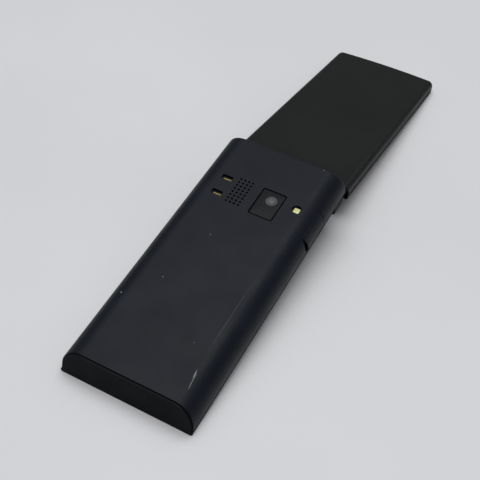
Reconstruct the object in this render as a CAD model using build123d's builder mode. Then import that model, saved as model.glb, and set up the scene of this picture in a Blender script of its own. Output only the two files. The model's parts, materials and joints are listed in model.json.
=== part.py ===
"""Clamshell mobile phone, open to its stop and lying face down like a low tent.

Every piece is drawn in the frame of the closed phone, in millimetres: x to the right
seen from the back, y from the bottom end of the keypad half to the hinge, z = 0 on the
keypad face and up to the back, with the lid below z = 0. Then it is moved to its place
in the open phone: +Z up, origin on the table under the middle, keypad half towards -Y.
"""

import os
from math import atan2, cos, degrees, radians, sin, sqrt, tan

from build123d import *

os.makedirs("parts", exist_ok=True)

# Keypad half, outside
body_width = 51.0
half_width = body_width / 2
body_thickness = 11.1
end_slant = 2.7  # each end face leans in by this much over the thickness
shoulder_width = 7.8  # the rounded long edges of the back are quarter ellipses
shoulder_height = 8.4
rim_rounding = 1.2  # edge of the back at the hinge end
contact_rounding = 0.4  # front edges, on which the open phone stands

# Lid, outside
lid_width = body_width - 0.1  # at the hinge axis
lid_taper = 0.5  # each side draws in by this much towards the tip
lid_thickness = 5.5
lid_gap = 0.5  # between the keypad face and the closed lid
lid_overhang = 0.6  # the lid's tip stands past the bottom edge
lid_bow = 1.2  # rise of the curved tip over the width
lid_corner = 2.8
lid_back_rounding = 2.5
lid_seam_depth = 2.5  # joint line of the back shell, below the back

# Hinge
axis_y = 116.2
barrel_radius = 2.84
opening_angle = 165.8
knuckle_half = half_width - 11.75
hinge_side_gap = 0.2
ear_inset = 0.45  # outer face of an ear, in from the side of the body
ear_rounding = 1.7
lid_start = 6.45  # the lid's sides start this far from the hinge axis
ear_turn_gap = 0.25
unit_radius = 2.18
shaft_radius = 1.2
pin_radius = 2.15
pin_wall = 0.5
pin_in_knuckle = 3.0
flex_roll_radius = 1.3
flex_thickness = 0.2
flex_joint_gap = 0.1
flex_joint_length = 1.0
unit_end_wall = 1.1  # wall of the ear past the hinge unit
pin_end_wall = 3.6  # wall of the ear past the hollow pin
snug = 0.02  # radial room of a pressed fit
running = 0.05  # radial room of a turning fit

# Walls and seams of the keypad half
fascia_thickness = 1.2
cover_wall = 1.1
case_gap = 0.25
case_wall = 1.0
end_plate_thickness = 0.6
end_plate_inset = 0.5
cover_end_gap = 0.15
cover_lap_wall = 0.45  # thin lip of the rear cover at the end plate
cover_lap_length = 1.3
end_wall_thickness = 1.2

# Back of the keypad half: places across and along the phone
window_size = (10.0, 13.9)
window_centre = (5.8, 89.9)
window_corner = 0.9
window_ledge = 0.8
window_thickness = 0.75
window_gap = 0.35
window_sunk = 0.05
lens_centre = (6.35, 92.0)
lens_radius = 2.3
lens_thickness = 0.4
light_centre = (16.5, 92.6)
light_radius = 2.0
contact_centres = ((-13.85, 94.7), (-13.85, 86.5))
contact_slot = (4.4, 2.2)
contact_size = (3.4, 0.9)  # crest of the sprung leaf, in the middle of its slot
contact_depth = 1.1
contact_thickness = 0.6
contact_rounding_top = 0.25
contact_leg_radius = 0.5
grid_centre = (-6.3, 90.45)
grid_pitch = (1.70, 1.73)
grid_count = (4, 8)
grid_hole_radius = 0.47

# Socket cover in the right side
flap_start = 83.2
flap_end = 98.3
flap_top = 8.5
flap_gap = 0.25
flap_end_gap = 0.35  # at the free end, so that the cover swings clear
flap_grip = 1.3  # the free end leans back by this much, for a fingernail
flap_lift = 0.12
flap_boss_depth = 1.0
notch_length = 0.8
notch_depth = 0.7
notch_low = 2.6
notch_high = 8.0

# Keypad
key_proud = 0.2
key_side_gap = 0.15
key_travel = 0.3
key_corner = 1.6
key_chamfer = 0.2
key_flange = 0.35
flange_thickness = 0.4
flange_gap = 0.1
post_height = 0.2
post_radius = 1.5
key_pitch = 0.3 * body_width
key_width = key_pitch - 0.9
key_length = 9.8
key_columns = (key_pitch, 0.0, -key_pitch)
key_first_row = 13.5
key_row_pitch = 11.2
nav_centre_y = 84.0
nav_proud = 0.1
nav_radius = key_pitch - 1.8
function_key_gap = 1.1  # between the direction ring and the function keys
function_key_size = (half_width - nav_radius - 4.0, 12.7)
function_key_x = nav_radius + function_key_gap + function_key_size[0] / 2
function_key_rows = (76.85, 91.15)
nav_hole_radius = 6.4
nav_flange_inner = nav_radius - 1.5
nav_flange_outer = nav_radius + 0.5
nav_flange_thickness = 0.3
nav_lift = 0.35  # between the underside of the fascia and the ring's flange
nav_pad_inner = 6.6
nav_pad_outer = 8.2
nav_pad_thickness = 0.3
nav_pad_gap = 0.2
centre_key_radius = 5.9

# Inside the keypad half
mat_gap = 0.05
mat_thickness = 0.35
plunger_height = 0.2
dome_thickness = 0.3
board_thickness = 0.8
board_half_width = half_width - 2.9
board_start = 3.6
board_end = 105.4
shield_height = 1.1
case_lift = 0.2
floor_gap = 0.1
bay_floor_thickness = 0.5
battery_size = (body_width - 13.0, 54.0)
battery_centre_y = 36.6
battery_gap = 0.3
end_screw_x = half_width - 7.5
screw_places = ((end_screw_x, 5.4), (half_width - 5.6, 67.0), (end_screw_x, 102.9))
screw_head_radius = 1.3
screw_head_height = 0.8
screw_shank_radius = 0.65
boss_radius = 1.8
boss_shoulder_radius = 2.5
screw_seat = 1.2  # thickness of the inner case under a screw head
camera_size = 8.5
camera_barrel_radius = 3.0
camera_barrel_height = 0.75
speaker_size = (9.0, 15.0, 2.8)
sim_size = (14.0, 13.5, 1.4)
sim_centre = (-12.0, 74.0)
motor_place = (10.0, 73.5)
motor_radius = 2.0
motor_length = 8.0
motor_shaft_radius = 0.4
weight_radius = 1.8
weight_length = 3.4
weight_gap = 0.8
socket_width = 7.6
socket_height = 2.6
socket_depth = 5.0
socket_wall = 0.3
socket_mouth_x = half_width - 2.7
socket_centre_y = 90.4
microphone_radius = 2.0
microphone_y = 5.6
antenna_size = (body_width - 17.0, 5.0, 3.2)
antenna_centre_y = 110.2
part_gap = 0.15  # room around a part in its pocket

# Inside the lid
lid_wall = 1.1
lid_back_wall = 1.0
glass_size = (lid_width - 6.4, 84.0)
glass_centre_y = 54.3
glass_thickness = 0.9
glass_gap = 0.15
glass_corner = 2.0
glass_ledge = 0.6
view_size = (glass_size[0] - 6.0, 68.0)
panel_size = (glass_size[0] - 3.0, 73.0)
panel_thickness = 1.4
holder_thickness = 0.3
holder_margin = 0.6
earpiece_y = 6.6
earpiece_slot = (9.0, 1.2)
earpiece_size = (12.0, 5.0, 1.6)
bumper_radius = 1.6
bumper_places = (lid_width / 2 - 4.45, 5.4)
bumper_proud = 0.35
bumper_sunk = 0.4
magnet_size = (6.0, 3.0, 1.5)
magnet_centre = (bumper_places[0] - 6.0, 5.2)
lid_screw_places = (lid_width / 2 - 6.95, 104.2)
lid_screw_head_radius = 1.5
lid_screw_head_height = 0.7
lid_screw_shank_radius = 0.7

margin = 5.0  # overrun of cutting bodies

# Heights of the stack behind the keypad face
flange_low = fascia_thickness + flange_gap
flange_high = flange_low + flange_thickness
post_high = flange_high + post_height
mat_low = post_high + key_travel + mat_gap
mat_high = mat_low + mat_thickness
dome_low = mat_high + plunger_height
board_low = dome_low + dome_thickness
board_high = board_low + board_thickness
shield_high = board_high + shield_height
case_low = board_high + case_lift
bay_ceiling = shield_high + floor_gap
bay_floor = bay_ceiling + bay_floor_thickness
case_inset = cover_wall + case_gap
case_high = body_thickness - case_inset
cover_inner = body_thickness - cover_wall
contact_high = body_thickness - contact_depth
window_high = body_thickness - window_sunk
window_low = window_high - window_thickness

# Lengths and places that follow
body_length = axis_y + barrel_radius
lid_back_level = -(lid_gap + lid_thickness)
lid_face_level = -lid_gap
axis_z = lid_back_level + barrel_radius
lid_seam = lid_back_level + lid_seam_depth
ear_outer = half_width - ear_inset
ear_inner = knuckle_half + hinge_side_gap
ear_reach = lid_start - ear_turn_gap
cover_start = end_plate_thickness + cover_end_gap
end_wall_end = end_plate_thickness + end_wall_thickness
key_rows = [key_first_row + row * key_row_pitch for row in range(5)]

# The two leaning end faces, with their normals into the body
bottom_end = Plane(origin=(0, 0, 0), x_dir=(1, 0, 0), z_dir=(0, body_thickness, -end_slant))
top_end = Plane(origin=(0, body_length, 0), x_dir=(1, 0, 0), z_dir=(0, -body_thickness, -end_slant))


def turned(y, z, angle):
    """Turn a point of the closed phone about the hinge axis, opening the lid."""
    across = y - axis_y
    up = z - axis_z
    turned_y = axis_y + across * cos(angle) - up * sin(angle)
    turned_z = axis_z + across * sin(angle) + up * cos(angle)
    return turned_y, turned_z


def tilted(point, angle):
    """Turn a point of the side view about the origin."""
    y, z = point
    return y * cos(angle) - z * sin(angle), y * sin(angle) + z * cos(angle)


# Rest pose: both rounded contact edges touch the table
opening = radians(opening_angle)
end_angle = atan2(body_thickness, end_slant)
base_contact = (contact_rounding / tan(end_angle / 2), contact_rounding)
lid_tip = -lid_overhang
lid_contact = turned(lid_tip + contact_rounding, lid_face_level - contact_rounding, opening)
lid_far = turned(lid_tip + lid_back_rounding, lid_back_level + lid_back_rounding, opening)
tilt = -atan2(lid_contact[1] - base_contact[1], lid_contact[0] - base_contact[0])
rear_limit = tilted(base_contact, tilt)[0] - contact_rounding
front_limit = tilted(lid_far, tilt)[0] + lid_back_rounding
shift_y = -(rear_limit + front_limit) / 2
shift_z = contact_rounding - tilted(base_contact, tilt)[1]
base_pose = Location((0, shift_y, shift_z), (degrees(tilt), 0, 0))
to_axis = Location((0, axis_y, axis_z))
from_axis = Location((0, -axis_y, -axis_z))
lid_pose = base_pose * to_axis * Location((0, 0, 0), (opening_angle, 0, 0)) * from_axis


def write(piece, label, pose):
    """Name a finished piece, put it at its place in the open phone and write it."""
    piece.part.label = label
    export_step(piece.part.moved(pose), f"parts/{label}.step")


def envelope(inset=0.0, bottom_inset=0.0, top_inset=0.0, low=0.0, high=body_thickness):
    """Outer form of the keypad half, drawn in by a wall and cut between two heights."""
    crest = half_width - shoulder_width
    spring = body_thickness - shoulder_height
    across = shoulder_width - inset
    up = shoulder_height - inset
    with BuildPart() as form:
        with BuildSketch(Plane.XZ.offset(margin)):
            with BuildLine():
                Polyline(
                    (crest + across, spring),
                    (crest + across, 0),
                    (-crest - across, 0),
                    (-crest - across, spring),
                )
                EllipticalCenterArc((-crest, spring), across, up, start_angle=90, arc_size=90)
                Line((-crest, spring + up), (crest, spring + up))
                EllipticalCenterArc((crest, spring), across, up, start_angle=0, arc_size=90)
            make_face()
        extrude(amount=-(body_length + 2 * margin))
        split(bisect_by=bottom_end.offset(bottom_inset), keep=Keep.TOP)
        split(bisect_by=top_end.offset(top_inset), keep=Keep.TOP)
        if low > 0:
            split(bisect_by=Plane.XY.offset(low), keep=Keep.TOP)
        if high < spring + up:
            split(bisect_by=Plane.XY.offset(high), keep=Keep.BOTTOM)
    return form.part


def lid_form(inset, low, high, back_rounding, start):
    """Outer form of the lid, drawn in by a wall, with its back edges rounded.

    It ends towards the hinge on an arc about the hinge axis, or at the axis itself
    where the start is zero.
    """
    half = lid_width / 2 - inset
    half_tip = half - lid_taper
    tip = lid_tip + inset
    with BuildPart() as form:
        with BuildSketch(Plane.XY.offset(low)) as outline:
            with BuildLine():
                ThreePointArc((-half_tip, tip + lid_bow), (0, tip), (half_tip, tip + lid_bow))
                Polyline(
                    (half_tip, tip + lid_bow),
                    (half, axis_y),
                    (-half, axis_y),
                    (-half_tip, tip + lid_bow),
                )
            make_face()
            fillet(outline.vertices().sort_by(Axis.Y)[:2], lid_corner - inset)
        extrude(amount=high - low)
        if back_rounding > 0:
            back_edges = form.faces().sort_by(Axis.Z)[0].edges().sort_by(Axis.Y)[:-1]
            fillet(back_edges, back_rounding)
        if start > 0:
            hinge_bar(-half - margin, half + margin, start, Mode.SUBTRACT)
    return form.part


def hinge_bar(x_from, x_to, radius, mode=Mode.ADD):
    """Round bar on the hinge axis between two places across the phone."""
    with Locations(Location(((x_from + x_to) / 2, axis_y, axis_z), (0, 90, 0))):
        Cylinder(radius, x_to - x_from, mode=mode)


def block(low, high, mode=Mode.ADD):
    """Box between two opposite corners."""
    middle = tuple((start + end) / 2 for start, end in zip(low, high))
    with Locations(middle):
        Box(high[0] - low[0], high[1] - low[1], high[2] - low[2], mode=mode)


def post(place, radius, low, high, mode=Mode.ADD):
    """Upright round post between two heights."""
    with Locations((place[0], place[1], (low + high) / 2)):
        Cylinder(radius, high - low, mode=mode)


def pocket(centre, size, low, high, gap=part_gap):
    """Cut a pocket for a part of the given plan size, with room around it."""
    block(
        (centre[0] - size[0] / 2 - gap, centre[1] - size[1] / 2 - gap, low),
        (centre[0] + size[0] / 2 + gap, centre[1] + size[1] / 2 + gap, high),
        Mode.SUBTRACT,
    )


def plate(centre, size, low, high, corner):
    """Upright plate with rounded corners, for adding or cutting in a piece."""
    with BuildPart() as solid:
        with BuildSketch(Plane.XY.offset(low)):
            with Locations(centre):
                RectangleRounded(size[0], size[1], corner)
        extrude(amount=high - low)
    return solid.part


def both_sides(places):
    """The given places and their mirror images across the phone."""
    return [(side * x, y) for x, y in places for side in (1, -1)]


# Plan sizes and places of what the walls are cut for
key_places = {}
for row, names in enumerate((("key_star", "key_0", "key_hash"), ("key_7", "key_8", "key_9"),
                             ("key_4", "key_5", "key_6"), ("key_1", "key_2", "key_3"),
                             ("call_key", "clear_key", "end_key"))):
    for x, name in zip(key_columns, names):
        key_places[name] = ((x, key_rows[row]), (key_width, key_length))
for y, names in zip(function_key_rows, (("menu_key", "text_key"), ("mail_key", "web_key"))):
    for side, name in zip((1, -1), names):
        key_places[name] = ((side * function_key_x, y), function_key_size)
screws = both_sides(screw_places)
camera_centre = (lens_centre[0], lens_centre[1])
speaker_centre = (grid_centre[0], grid_centre[1])
window_opening = (window_size[0] - 2 * window_ledge, window_size[1] - 2 * window_ledge)
window_plate = (window_size[0] - 2 * window_gap, window_size[1] - 2 * window_gap)
motor_centre_x, motor_y = motor_place
motor_z = bay_ceiling + motor_radius
motor_end_x = motor_centre_x + motor_length / 2
weight_start_x = motor_end_x + weight_gap
weight_end_x = weight_start_x + weight_length
socket_low = board_high
socket_high = board_high + socket_height
socket_start_y = socket_centre_y - socket_width / 2
socket_end_y = socket_centre_y + socket_width / 2
socket_back_x = socket_mouth_x - socket_depth
port_low = (socket_mouth_x, socket_start_y - 2 * part_gap, case_low)
port_high = (half_width, socket_end_y + 2 * part_gap, socket_high + 2 * part_gap)
unit_end_x = ear_outer - unit_end_wall
pin_end_x = ear_outer - pin_end_wall
flex_join_x = pin_end_x + flex_joint_gap
flex_end_x = flex_join_x + flex_joint_length

# Front case: keypad face, low walls, leaning end block and the two hinge ears
fascia = envelope(high=fascia_thickness)
end_plate = envelope(inset=end_plate_inset)
end_wall = envelope(inset=case_inset)
wall_outer = envelope(case_inset, 0, case_inset, fascia_thickness, case_low)
wall_inner = envelope(case_inset + case_wall, end_wall_end, case_inset + case_wall, fascia_thickness, case_low)
with BuildPart() as end_block:
    add(end_plate)
    split(bisect_by=bottom_end.offset(end_plate_thickness), keep=Keep.BOTTOM)
with BuildPart() as end_backing:
    add(end_wall)
    split(bisect_by=bottom_end.offset(end_wall_end), keep=Keep.BOTTOM)
with BuildPart() as ear:
    ear_top = fascia_thickness / 2
    low_reach = sqrt(ear_reach**2 - barrel_radius**2)
    high_reach = sqrt(ear_reach**2 - (ear_top - axis_z) ** 2)
    with BuildSketch(Plane.YZ.offset(ear_inner)):
        with BuildLine():
            CenterArc((axis_y, axis_z), barrel_radius, 0, -90)
            Line((axis_y, lid_back_level), (axis_y - low_reach, lid_back_level))
            ThreePointArc(
                (axis_y - low_reach, lid_back_level),
                (axis_y - ear_reach, axis_z),
                (axis_y - high_reach, ear_top),
            )
            Polyline(
                (axis_y - high_reach, ear_top),
                (body_length, ear_top),
                (body_length, axis_z),
            )
        make_face()
    extrude(amount=ear_outer - ear_inner)
    outer_face = ear.faces().sort_by(Axis.X)[-1]
    low_edges = outer_face.edges().filter_by(lambda edge: edge.center().Z < axis_z - barrel_radius / 4)
    fillet(low_edges.filter_by(lambda edge: edge.center().Y > axis_y - low_reach), ear_rounding)
with BuildPart() as front_case:
    add(fascia)
    end_edges = front_case.faces().sort_by(Axis.Y)[-1].edges().sort_by(Axis.X)
    fillet([end_edges[0], end_edges[-1]], rim_rounding)
    contact_edge = front_case.faces().sort_by(Axis.Z)[0].edges().sort_by(Axis.Y)[0]
    fillet(contact_edge, contact_rounding)
    add(wall_outer)
    add(wall_inner, mode=Mode.SUBTRACT)
    add(end_block.part)
    add(end_backing.part)
    add(ear.part)
    add(ear.part.mirror(Plane.YZ))
    for place in screws:
        post(place, boss_shoulder_radius, fascia_thickness, board_low)
        post(place, boss_radius, board_low, case_low)
        post(place, screw_shank_radius + snug, fascia_thickness + 0.4, case_low, Mode.SUBTRACT)
    for centre, size in key_places.values():
        hole = (size[0] + 2 * key_side_gap, size[1] + 2 * key_side_gap)
        add(plate(centre, hole, -margin, fascia_thickness, key_corner), mode=Mode.SUBTRACT)
    nav_centre = (0, nav_centre_y)
    post(nav_centre, nav_radius + 0.2, -margin, fascia_thickness, Mode.SUBTRACT)
    post((0, microphone_y), 0.5, -margin, fascia_thickness, Mode.SUBTRACT)
    hinge_bar(-unit_end_x - snug, -ear_inner + margin / 50, unit_radius + snug, Mode.SUBTRACT)
    hinge_bar(ear_inner - margin / 50, pin_end_x, pin_radius + snug, Mode.SUBTRACT)
    hinge_bar(pin_end_x - margin / 50, flex_end_x + part_gap, flex_roll_radius + part_gap, Mode.SUBTRACT)
    block(
        (flex_join_x - part_gap, axis_y - flex_roll_radius - part_gap, axis_z),
        (flex_end_x + part_gap, axis_y + flex_roll_radius + part_gap, case_low),
        Mode.SUBTRACT,
    )
write(front_case, "front_case", base_pose)

# Rear cover: back and side walls with the hinge end, open at the bottom end, where a thin
# lip lets it lift clear of the leaning end plate
cover_outer = envelope(0, cover_start, 0, fascia_thickness)
cover_cavity = envelope(cover_wall, 0, cover_wall, 0)
notch_limit = envelope(notch_depth)
with BuildPart() as end_lap:
    add(envelope(cover_lap_wall))
    split(bisect_by=bottom_end.offset(cover_start + cover_lap_length), keep=Keep.BOTTOM)
with BuildPart() as notch:
    with BuildSketch(Plane.YZ.offset(half_width / 2)):
        with BuildLine():
            Polyline(
                (flap_start + margin / 10, notch_low),
                (flap_start, notch_low),
                (flap_start - notch_length, notch_low + notch_length),
                (flap_start - notch_length, notch_high - notch_length),
                (flap_start, notch_high),
                (flap_start + margin / 10, notch_high),
                close=True,
            )
        make_face()
    extrude(amount=half_width)
    add(notch_limit, mode=Mode.SUBTRACT)
with BuildPart() as rear_cover:
    add(cover_outer)
    rim = rear_cover.faces().sort_by(Axis.Y)[-1].edges()
    fillet(rim.filter_by(lambda edge: edge.center().Z > fascia_thickness + 0.1), rim_rounding)
    add(cover_cavity, mode=Mode.SUBTRACT)
    add(end_lap.part, mode=Mode.SUBTRACT)
    add(plate(window_centre, window_size, window_low, body_thickness + margin, window_corner),
        mode=Mode.SUBTRACT)
    add(plate(window_centre, window_opening, cover_inner - margin, body_thickness, window_corner / 2),
        mode=Mode.SUBTRACT)
    post(light_centre, light_radius, cover_inner - margin / 5, body_thickness + margin, Mode.SUBTRACT)
    for centre in contact_centres:
        add(plate(centre, contact_slot, cover_inner - margin / 5, body_thickness + margin, 0.3),
            mode=Mode.SUBTRACT)
    with Locations((grid_centre[0], grid_centre[1], cover_inner + cover_wall / 2)):
        with GridLocations(grid_pitch[0], grid_pitch[1], grid_count[0], grid_count[1]):
            Cylinder(grid_hole_radius, 3 * cover_wall, mode=Mode.SUBTRACT)
    block(
        (half_width / 2, flap_start, 0),
        (half_width + margin, flap_end, flap_top),
        Mode.SUBTRACT,
    )
    add(notch.part, mode=Mode.SUBTRACT)
write(rear_cover, "rear_cover", base_pose)

# Camera window plate with its lens glass, in the rear cover
with BuildPart() as camera_window:
    add(plate(window_centre, window_plate, window_low, window_high, window_corner - window_gap))
    post(lens_centre, lens_radius + 0.05, window_high - lens_thickness, body_thickness, Mode.SUBTRACT)
    post(lens_centre, lens_radius - 0.5, window_low - margin, body_thickness, Mode.SUBTRACT)
write(camera_window, "camera_window", base_pose)
with BuildPart() as camera_lens:
    post(lens_centre, lens_radius, window_high - lens_thickness, window_high - 0.05)
write(camera_lens, "camera_lens", base_pose)

# Fine mesh glued under the speaker holes
mesh_size = (grid_pitch[0] * grid_count[0] + 1.0, grid_pitch[1] * grid_count[1] + 1.0)
with BuildPart() as speaker_mesh:
    add(plate(grid_centre, mesh_size, cover_inner - 0.15, cover_inner, 0.8))
write(speaker_mesh, "speaker_mesh", base_pose)

# Socket cover: follows the side wall and carries a boss that fills the socket's window
flap_outer = envelope(0, 0, 0, fascia_thickness + flap_lift, flap_top - flap_gap)
flap_cavity = envelope(cover_wall, 0, 0, 0)
with BuildPart() as port_cover:
    with BuildSketch(Plane.YZ.offset(half_width / 2)):
        with BuildLine():
            Polyline(
                (flap_start + flap_end_gap + flap_grip, 0),
                (flap_start + flap_end_gap + flap_grip, notch_low + 1.0),
                (flap_start + flap_end_gap, flap_top),
                (flap_end - flap_gap, flap_top),
                (flap_end - flap_gap, 0),
                close=True,
            )
        make_face()
    extrude(amount=half_width)
    add(flap_outer, mode=Mode.INTERSECT)
    add(flap_cavity, mode=Mode.SUBTRACT)
    block(
        (half_width - cover_wall - flap_boss_depth, socket_start_y + part_gap, case_low + 2 * part_gap),
        (half_width - cover_wall + 0.02, socket_end_y - part_gap, socket_high - part_gap),
    )
write(port_cover, "port_cover", base_pose)

# Inner case: battery bay, and pockets for what looks out of the back
case_form = envelope(case_inset, end_wall_end + case_gap, case_inset, case_low, case_high)
with BuildPart() as inner_case:
    add(case_form)
    bay_middle = (0, battery_centre_y)
    pocket(bay_middle, battery_size, bay_floor, body_thickness, battery_gap)
    pocket(bay_middle, battery_size, 0, bay_ceiling, 0)
    pocket(camera_centre, (camera_size, camera_size), 0, body_thickness)
    pocket(speaker_centre, speaker_size, case_high - speaker_size[2], body_thickness)
    pocket(sim_centre, sim_size, case_high - 2 * sim_size[2], body_thickness)
    post(light_centre, light_radius, case_high - 1.6, body_thickness, Mode.SUBTRACT)
    for centre in contact_centres:
        pocket(centre, contact_size, contact_high - contact_thickness, body_thickness)
        post(centre, contact_leg_radius + part_gap, 0, body_thickness, Mode.SUBTRACT)
    pocket((motor_centre_x, motor_y), (motor_length, 2 * motor_radius), bay_ceiling, body_thickness)
    block(
        (motor_end_x, motor_y - weight_radius - 2 * part_gap, motor_z - weight_radius - 2 * part_gap),
        (weight_end_x + 2 * part_gap, motor_y + weight_radius + 2 * part_gap, body_thickness),
        Mode.SUBTRACT,
    )
    block(
        (socket_back_x - part_gap, port_low[1], 0),
        (half_width, port_high[1], port_high[2]),
        Mode.SUBTRACT,
    )
    pocket((0, antenna_centre_y), antenna_size, case_high - antenna_size[2], body_thickness)
    for place in screws:
        post(place, screw_shank_radius + part_gap, 0, body_thickness, Mode.SUBTRACT)
        post(place, screw_head_radius + part_gap, case_low + screw_seat, body_thickness, Mode.SUBTRACT)
write(inner_case, "inner_case", base_pose)

# Screws that hold the inner case and the board on the front case
with BuildPart() as case_screws:
    for place in screws:
        head_low = case_low + screw_seat
        post(place, screw_head_radius, head_low, head_low + screw_head_height)
        post(place, screw_shank_radius, fascia_thickness + 0.6, head_low)
write(case_screws, "case_screws", base_pose)

# Key mat with a plunger under each key, and the sheet of snap domes on the board
sheet_start = screw_places[0][1] + boss_shoulder_radius + part_gap
sheet_end = screw_places[2][1] - boss_shoulder_radius - part_gap
sheet_size = (2 * board_half_width, sheet_end - sheet_start)
sheet_centre = (0, (sheet_start + sheet_end) / 2)
middle_screws = both_sides(screw_places[1:2])
with BuildPart() as key_mat:
    add(plate(sheet_centre, sheet_size, mat_low, mat_high, 1.0))
    for centre, size in key_places.values():
        post(centre, post_radius, mat_high - mat_thickness / 2, dome_low)
    post(nav_centre, post_radius, mat_high - mat_thickness / 2, dome_low)
    with Locations((0, nav_centre_y, (mat_high + dome_low) / 2)):
        with PolarLocations((nav_hole_radius + nav_radius) / 2, 4):
            Cylinder(post_radius / 2, dome_low - mat_high)
    for place in middle_screws:
        post(place, boss_shoulder_radius + part_gap, 0, board_low, Mode.SUBTRACT)
write(key_mat, "key_mat", base_pose)
with BuildPart() as dome_sheet:
    add(plate(sheet_centre, sheet_size, dome_low, board_low, 1.0))
    for place in middle_screws:
        post(place, boss_shoulder_radius + part_gap, 0, board_low + margin, Mode.SUBTRACT)
write(dome_sheet, "dome_sheet", base_pose)

# Main board on the shoulders of the screw bosses, with two shield cans
board_middle = (0, (board_start + board_end) / 2)
with BuildPart() as main_board:
    add(plate(board_middle, (2 * board_half_width, board_end - board_start), board_low, board_high, 1.5))
    for place in screws:
        post(place, boss_radius + part_gap, 0, body_thickness, Mode.SUBTRACT)
write(main_board, "main_board", base_pose)
can_length = battery_size[1] / 2 - 2.0
with BuildPart() as shield_cans:
    for side in (-1, 1):
        middle = (0, battery_centre_y + side * (can_length / 2 + 0.5))
        add(plate(middle, (battery_size[0] - 2.0, can_length), board_high, shield_high, 1.0))
        chamfer(shield_cans.faces().sort_by(Axis.Z)[-1].edges(), 0.2)
write(shield_cans, "shield_cans", base_pose)

# Battery in its bay
with BuildPart() as battery:
    add(plate(bay_middle, battery_size, bay_floor, cover_inner - battery_gap, 1.0))
write(battery, "battery", base_pose)

# SIM holder, with the slot for the card open towards the battery
sim_low = case_high - 2 * sim_size[2]
with BuildPart() as sim_holder:
    add(plate(sim_centre, sim_size, sim_low, sim_low + sim_size[2], 0.5))
    block(
        (sim_centre[0] - 6.2, sim_centre[1] - sim_size[1], sim_low + 0.25),
        (sim_centre[0] + 6.2, sim_centre[1] + sim_size[1] / 2 - 1.0, sim_low + 1.1),
        Mode.SUBTRACT,
    )
write(sim_holder, "sim_holder", base_pose)

# Camera module: square base on the board, round barrel under the window
camera_high = case_high - 0.6
with BuildPart() as camera_module:
    add(plate(camera_centre, (camera_size, camera_size), board_high, camera_high, 0.4))
    post(camera_centre, camera_barrel_radius, camera_high, camera_high + camera_barrel_height)
    post(camera_centre, 1.2, camera_high, camera_high + camera_barrel_height, Mode.SUBTRACT)
write(camera_module, "camera_module", base_pose)

# Speaker under the grid of holes, with a shallow ring round its membrane
speaker_low = case_high - speaker_size[2]
with BuildPart() as speaker:
    add(plate(speaker_centre, speaker_size[:2], speaker_low, speaker_low + speaker_size[2] - 0.25, 1.5))
    add(plate(speaker_centre, (speaker_size[0] - 2, speaker_size[1] - 2),
              speaker_low + speaker_size[2] - 0.5, case_high, 1.2), mode=Mode.SUBTRACT)
write(speaker, "speaker", base_pose)

# Two charging contacts: rounded crests under the slots, with legs down to the board
with BuildPart() as charging_contacts:
    for centre in contact_centres:
        add(plate(centre, contact_size, contact_high - contact_thickness, contact_high, 0.3))
    crests = charging_contacts.faces().filter_by(Axis.Z).sort_by(Axis.Z)[-2:]
    fillet(crests.edges(), contact_rounding_top)
    for centre in contact_centres:
        post(centre, contact_leg_radius, board_high, contact_high - contact_thickness)
write(charging_contacts, "charging_contacts", base_pose)

# Light: emitter in a conical reflector cup, reaching into the hole of the cover
light_low = case_high - 1.6
light_high = cover_inner + 0.2
with BuildPart() as light_led:
    with BuildSketch(Plane.XZ) as cup:
        with BuildLine():
            Polyline(
                (0, light_low),
                (light_radius - 0.15, light_low),
                (light_radius - 0.15, light_high),
                (light_radius - 0.45, light_high),
                (0.9, light_high - 0.9),
                (0.7, light_high - 0.9),
                (0.7, light_high - 0.6),
                (0, light_high - 0.6),
                close=True,
            )
        make_face()
    revolve(axis=Axis.Z)
light_led.part = light_led.part.moved(Location((light_centre[0], light_centre[1], 0)))
write(light_led, "light_led", base_pose)

# USB socket on the board, its mouth towards the side cover
with BuildPart() as usb_socket:
    block((socket_back_x, socket_start_y, socket_low), (socket_mouth_x, socket_end_y, socket_high))
    with BuildSketch(Plane.YZ.offset(socket_mouth_x)):
        with Locations((socket_centre_y, (socket_low + socket_high) / 2)):
            Trapezoid(socket_width - 2 * socket_wall, socket_height - 2 * socket_wall, 70, rotation=180)
    extrude(amount=-(socket_depth - 0.6), mode=Mode.SUBTRACT)
    block(
        (socket_back_x + 0.3, socket_centre_y - 1.9, (socket_low + socket_high) / 2 - 0.1),
        (socket_mouth_x - 0.8, socket_centre_y + 1.9, (socket_low + socket_high) / 2 + 0.3),
    )
write(usb_socket, "usb_socket", base_pose)

# Microphone behind its sound hole
with BuildPart() as microphone:
    post((0, microphone_y), microphone_radius, fascia_thickness, board_low)
    post((0, microphone_y), 0.5, fascia_thickness - margin, fascia_thickness + 0.6, Mode.SUBTRACT)
write(microphone, "microphone", base_pose)

# Antenna carrier at the hinge end
antenna_low = case_high - antenna_size[2]
with BuildPart() as antenna:
    add(plate((0, antenna_centre_y), antenna_size[:2], antenna_low, case_high, 0.5))
    top_edges = antenna.faces().sort_by(Axis.Z)[-1].edges()
    chamfer(top_edges, 0.4)
write(antenna, "antenna", base_pose)

# Vibration motor: can with its weight on the shaft
def motor_bar(x_from, x_to, radius, mode=Mode.ADD):
    """Round bar on the motor's axis."""
    with Locations(Location(((x_from + x_to) / 2, motor_y, motor_z), (0, 90, 0))):
        Cylinder(radius, x_to - x_from, mode=mode)


with BuildPart() as motor_can:
    motor_bar(motor_centre_x - motor_length / 2, motor_end_x, motor_radius)
    motor_bar(motor_end_x - 3.0, motor_end_x, motor_shaft_radius + running, Mode.SUBTRACT)
write(motor_can, "motor_can", base_pose)
with BuildPart() as motor_weight:
    motor_bar(weight_start_x, weight_end_x, weight_radius)
    block(
        (weight_start_x - 1, motor_y - margin, motor_z + motor_shaft_radius),
        (weight_end_x + 1, motor_y + margin, motor_z + margin),
        Mode.SUBTRACT,
    )
    motor_bar(motor_end_x - 2.8, weight_end_x, motor_shaft_radius)
write(motor_weight, "motor_weight", base_pose)

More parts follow.
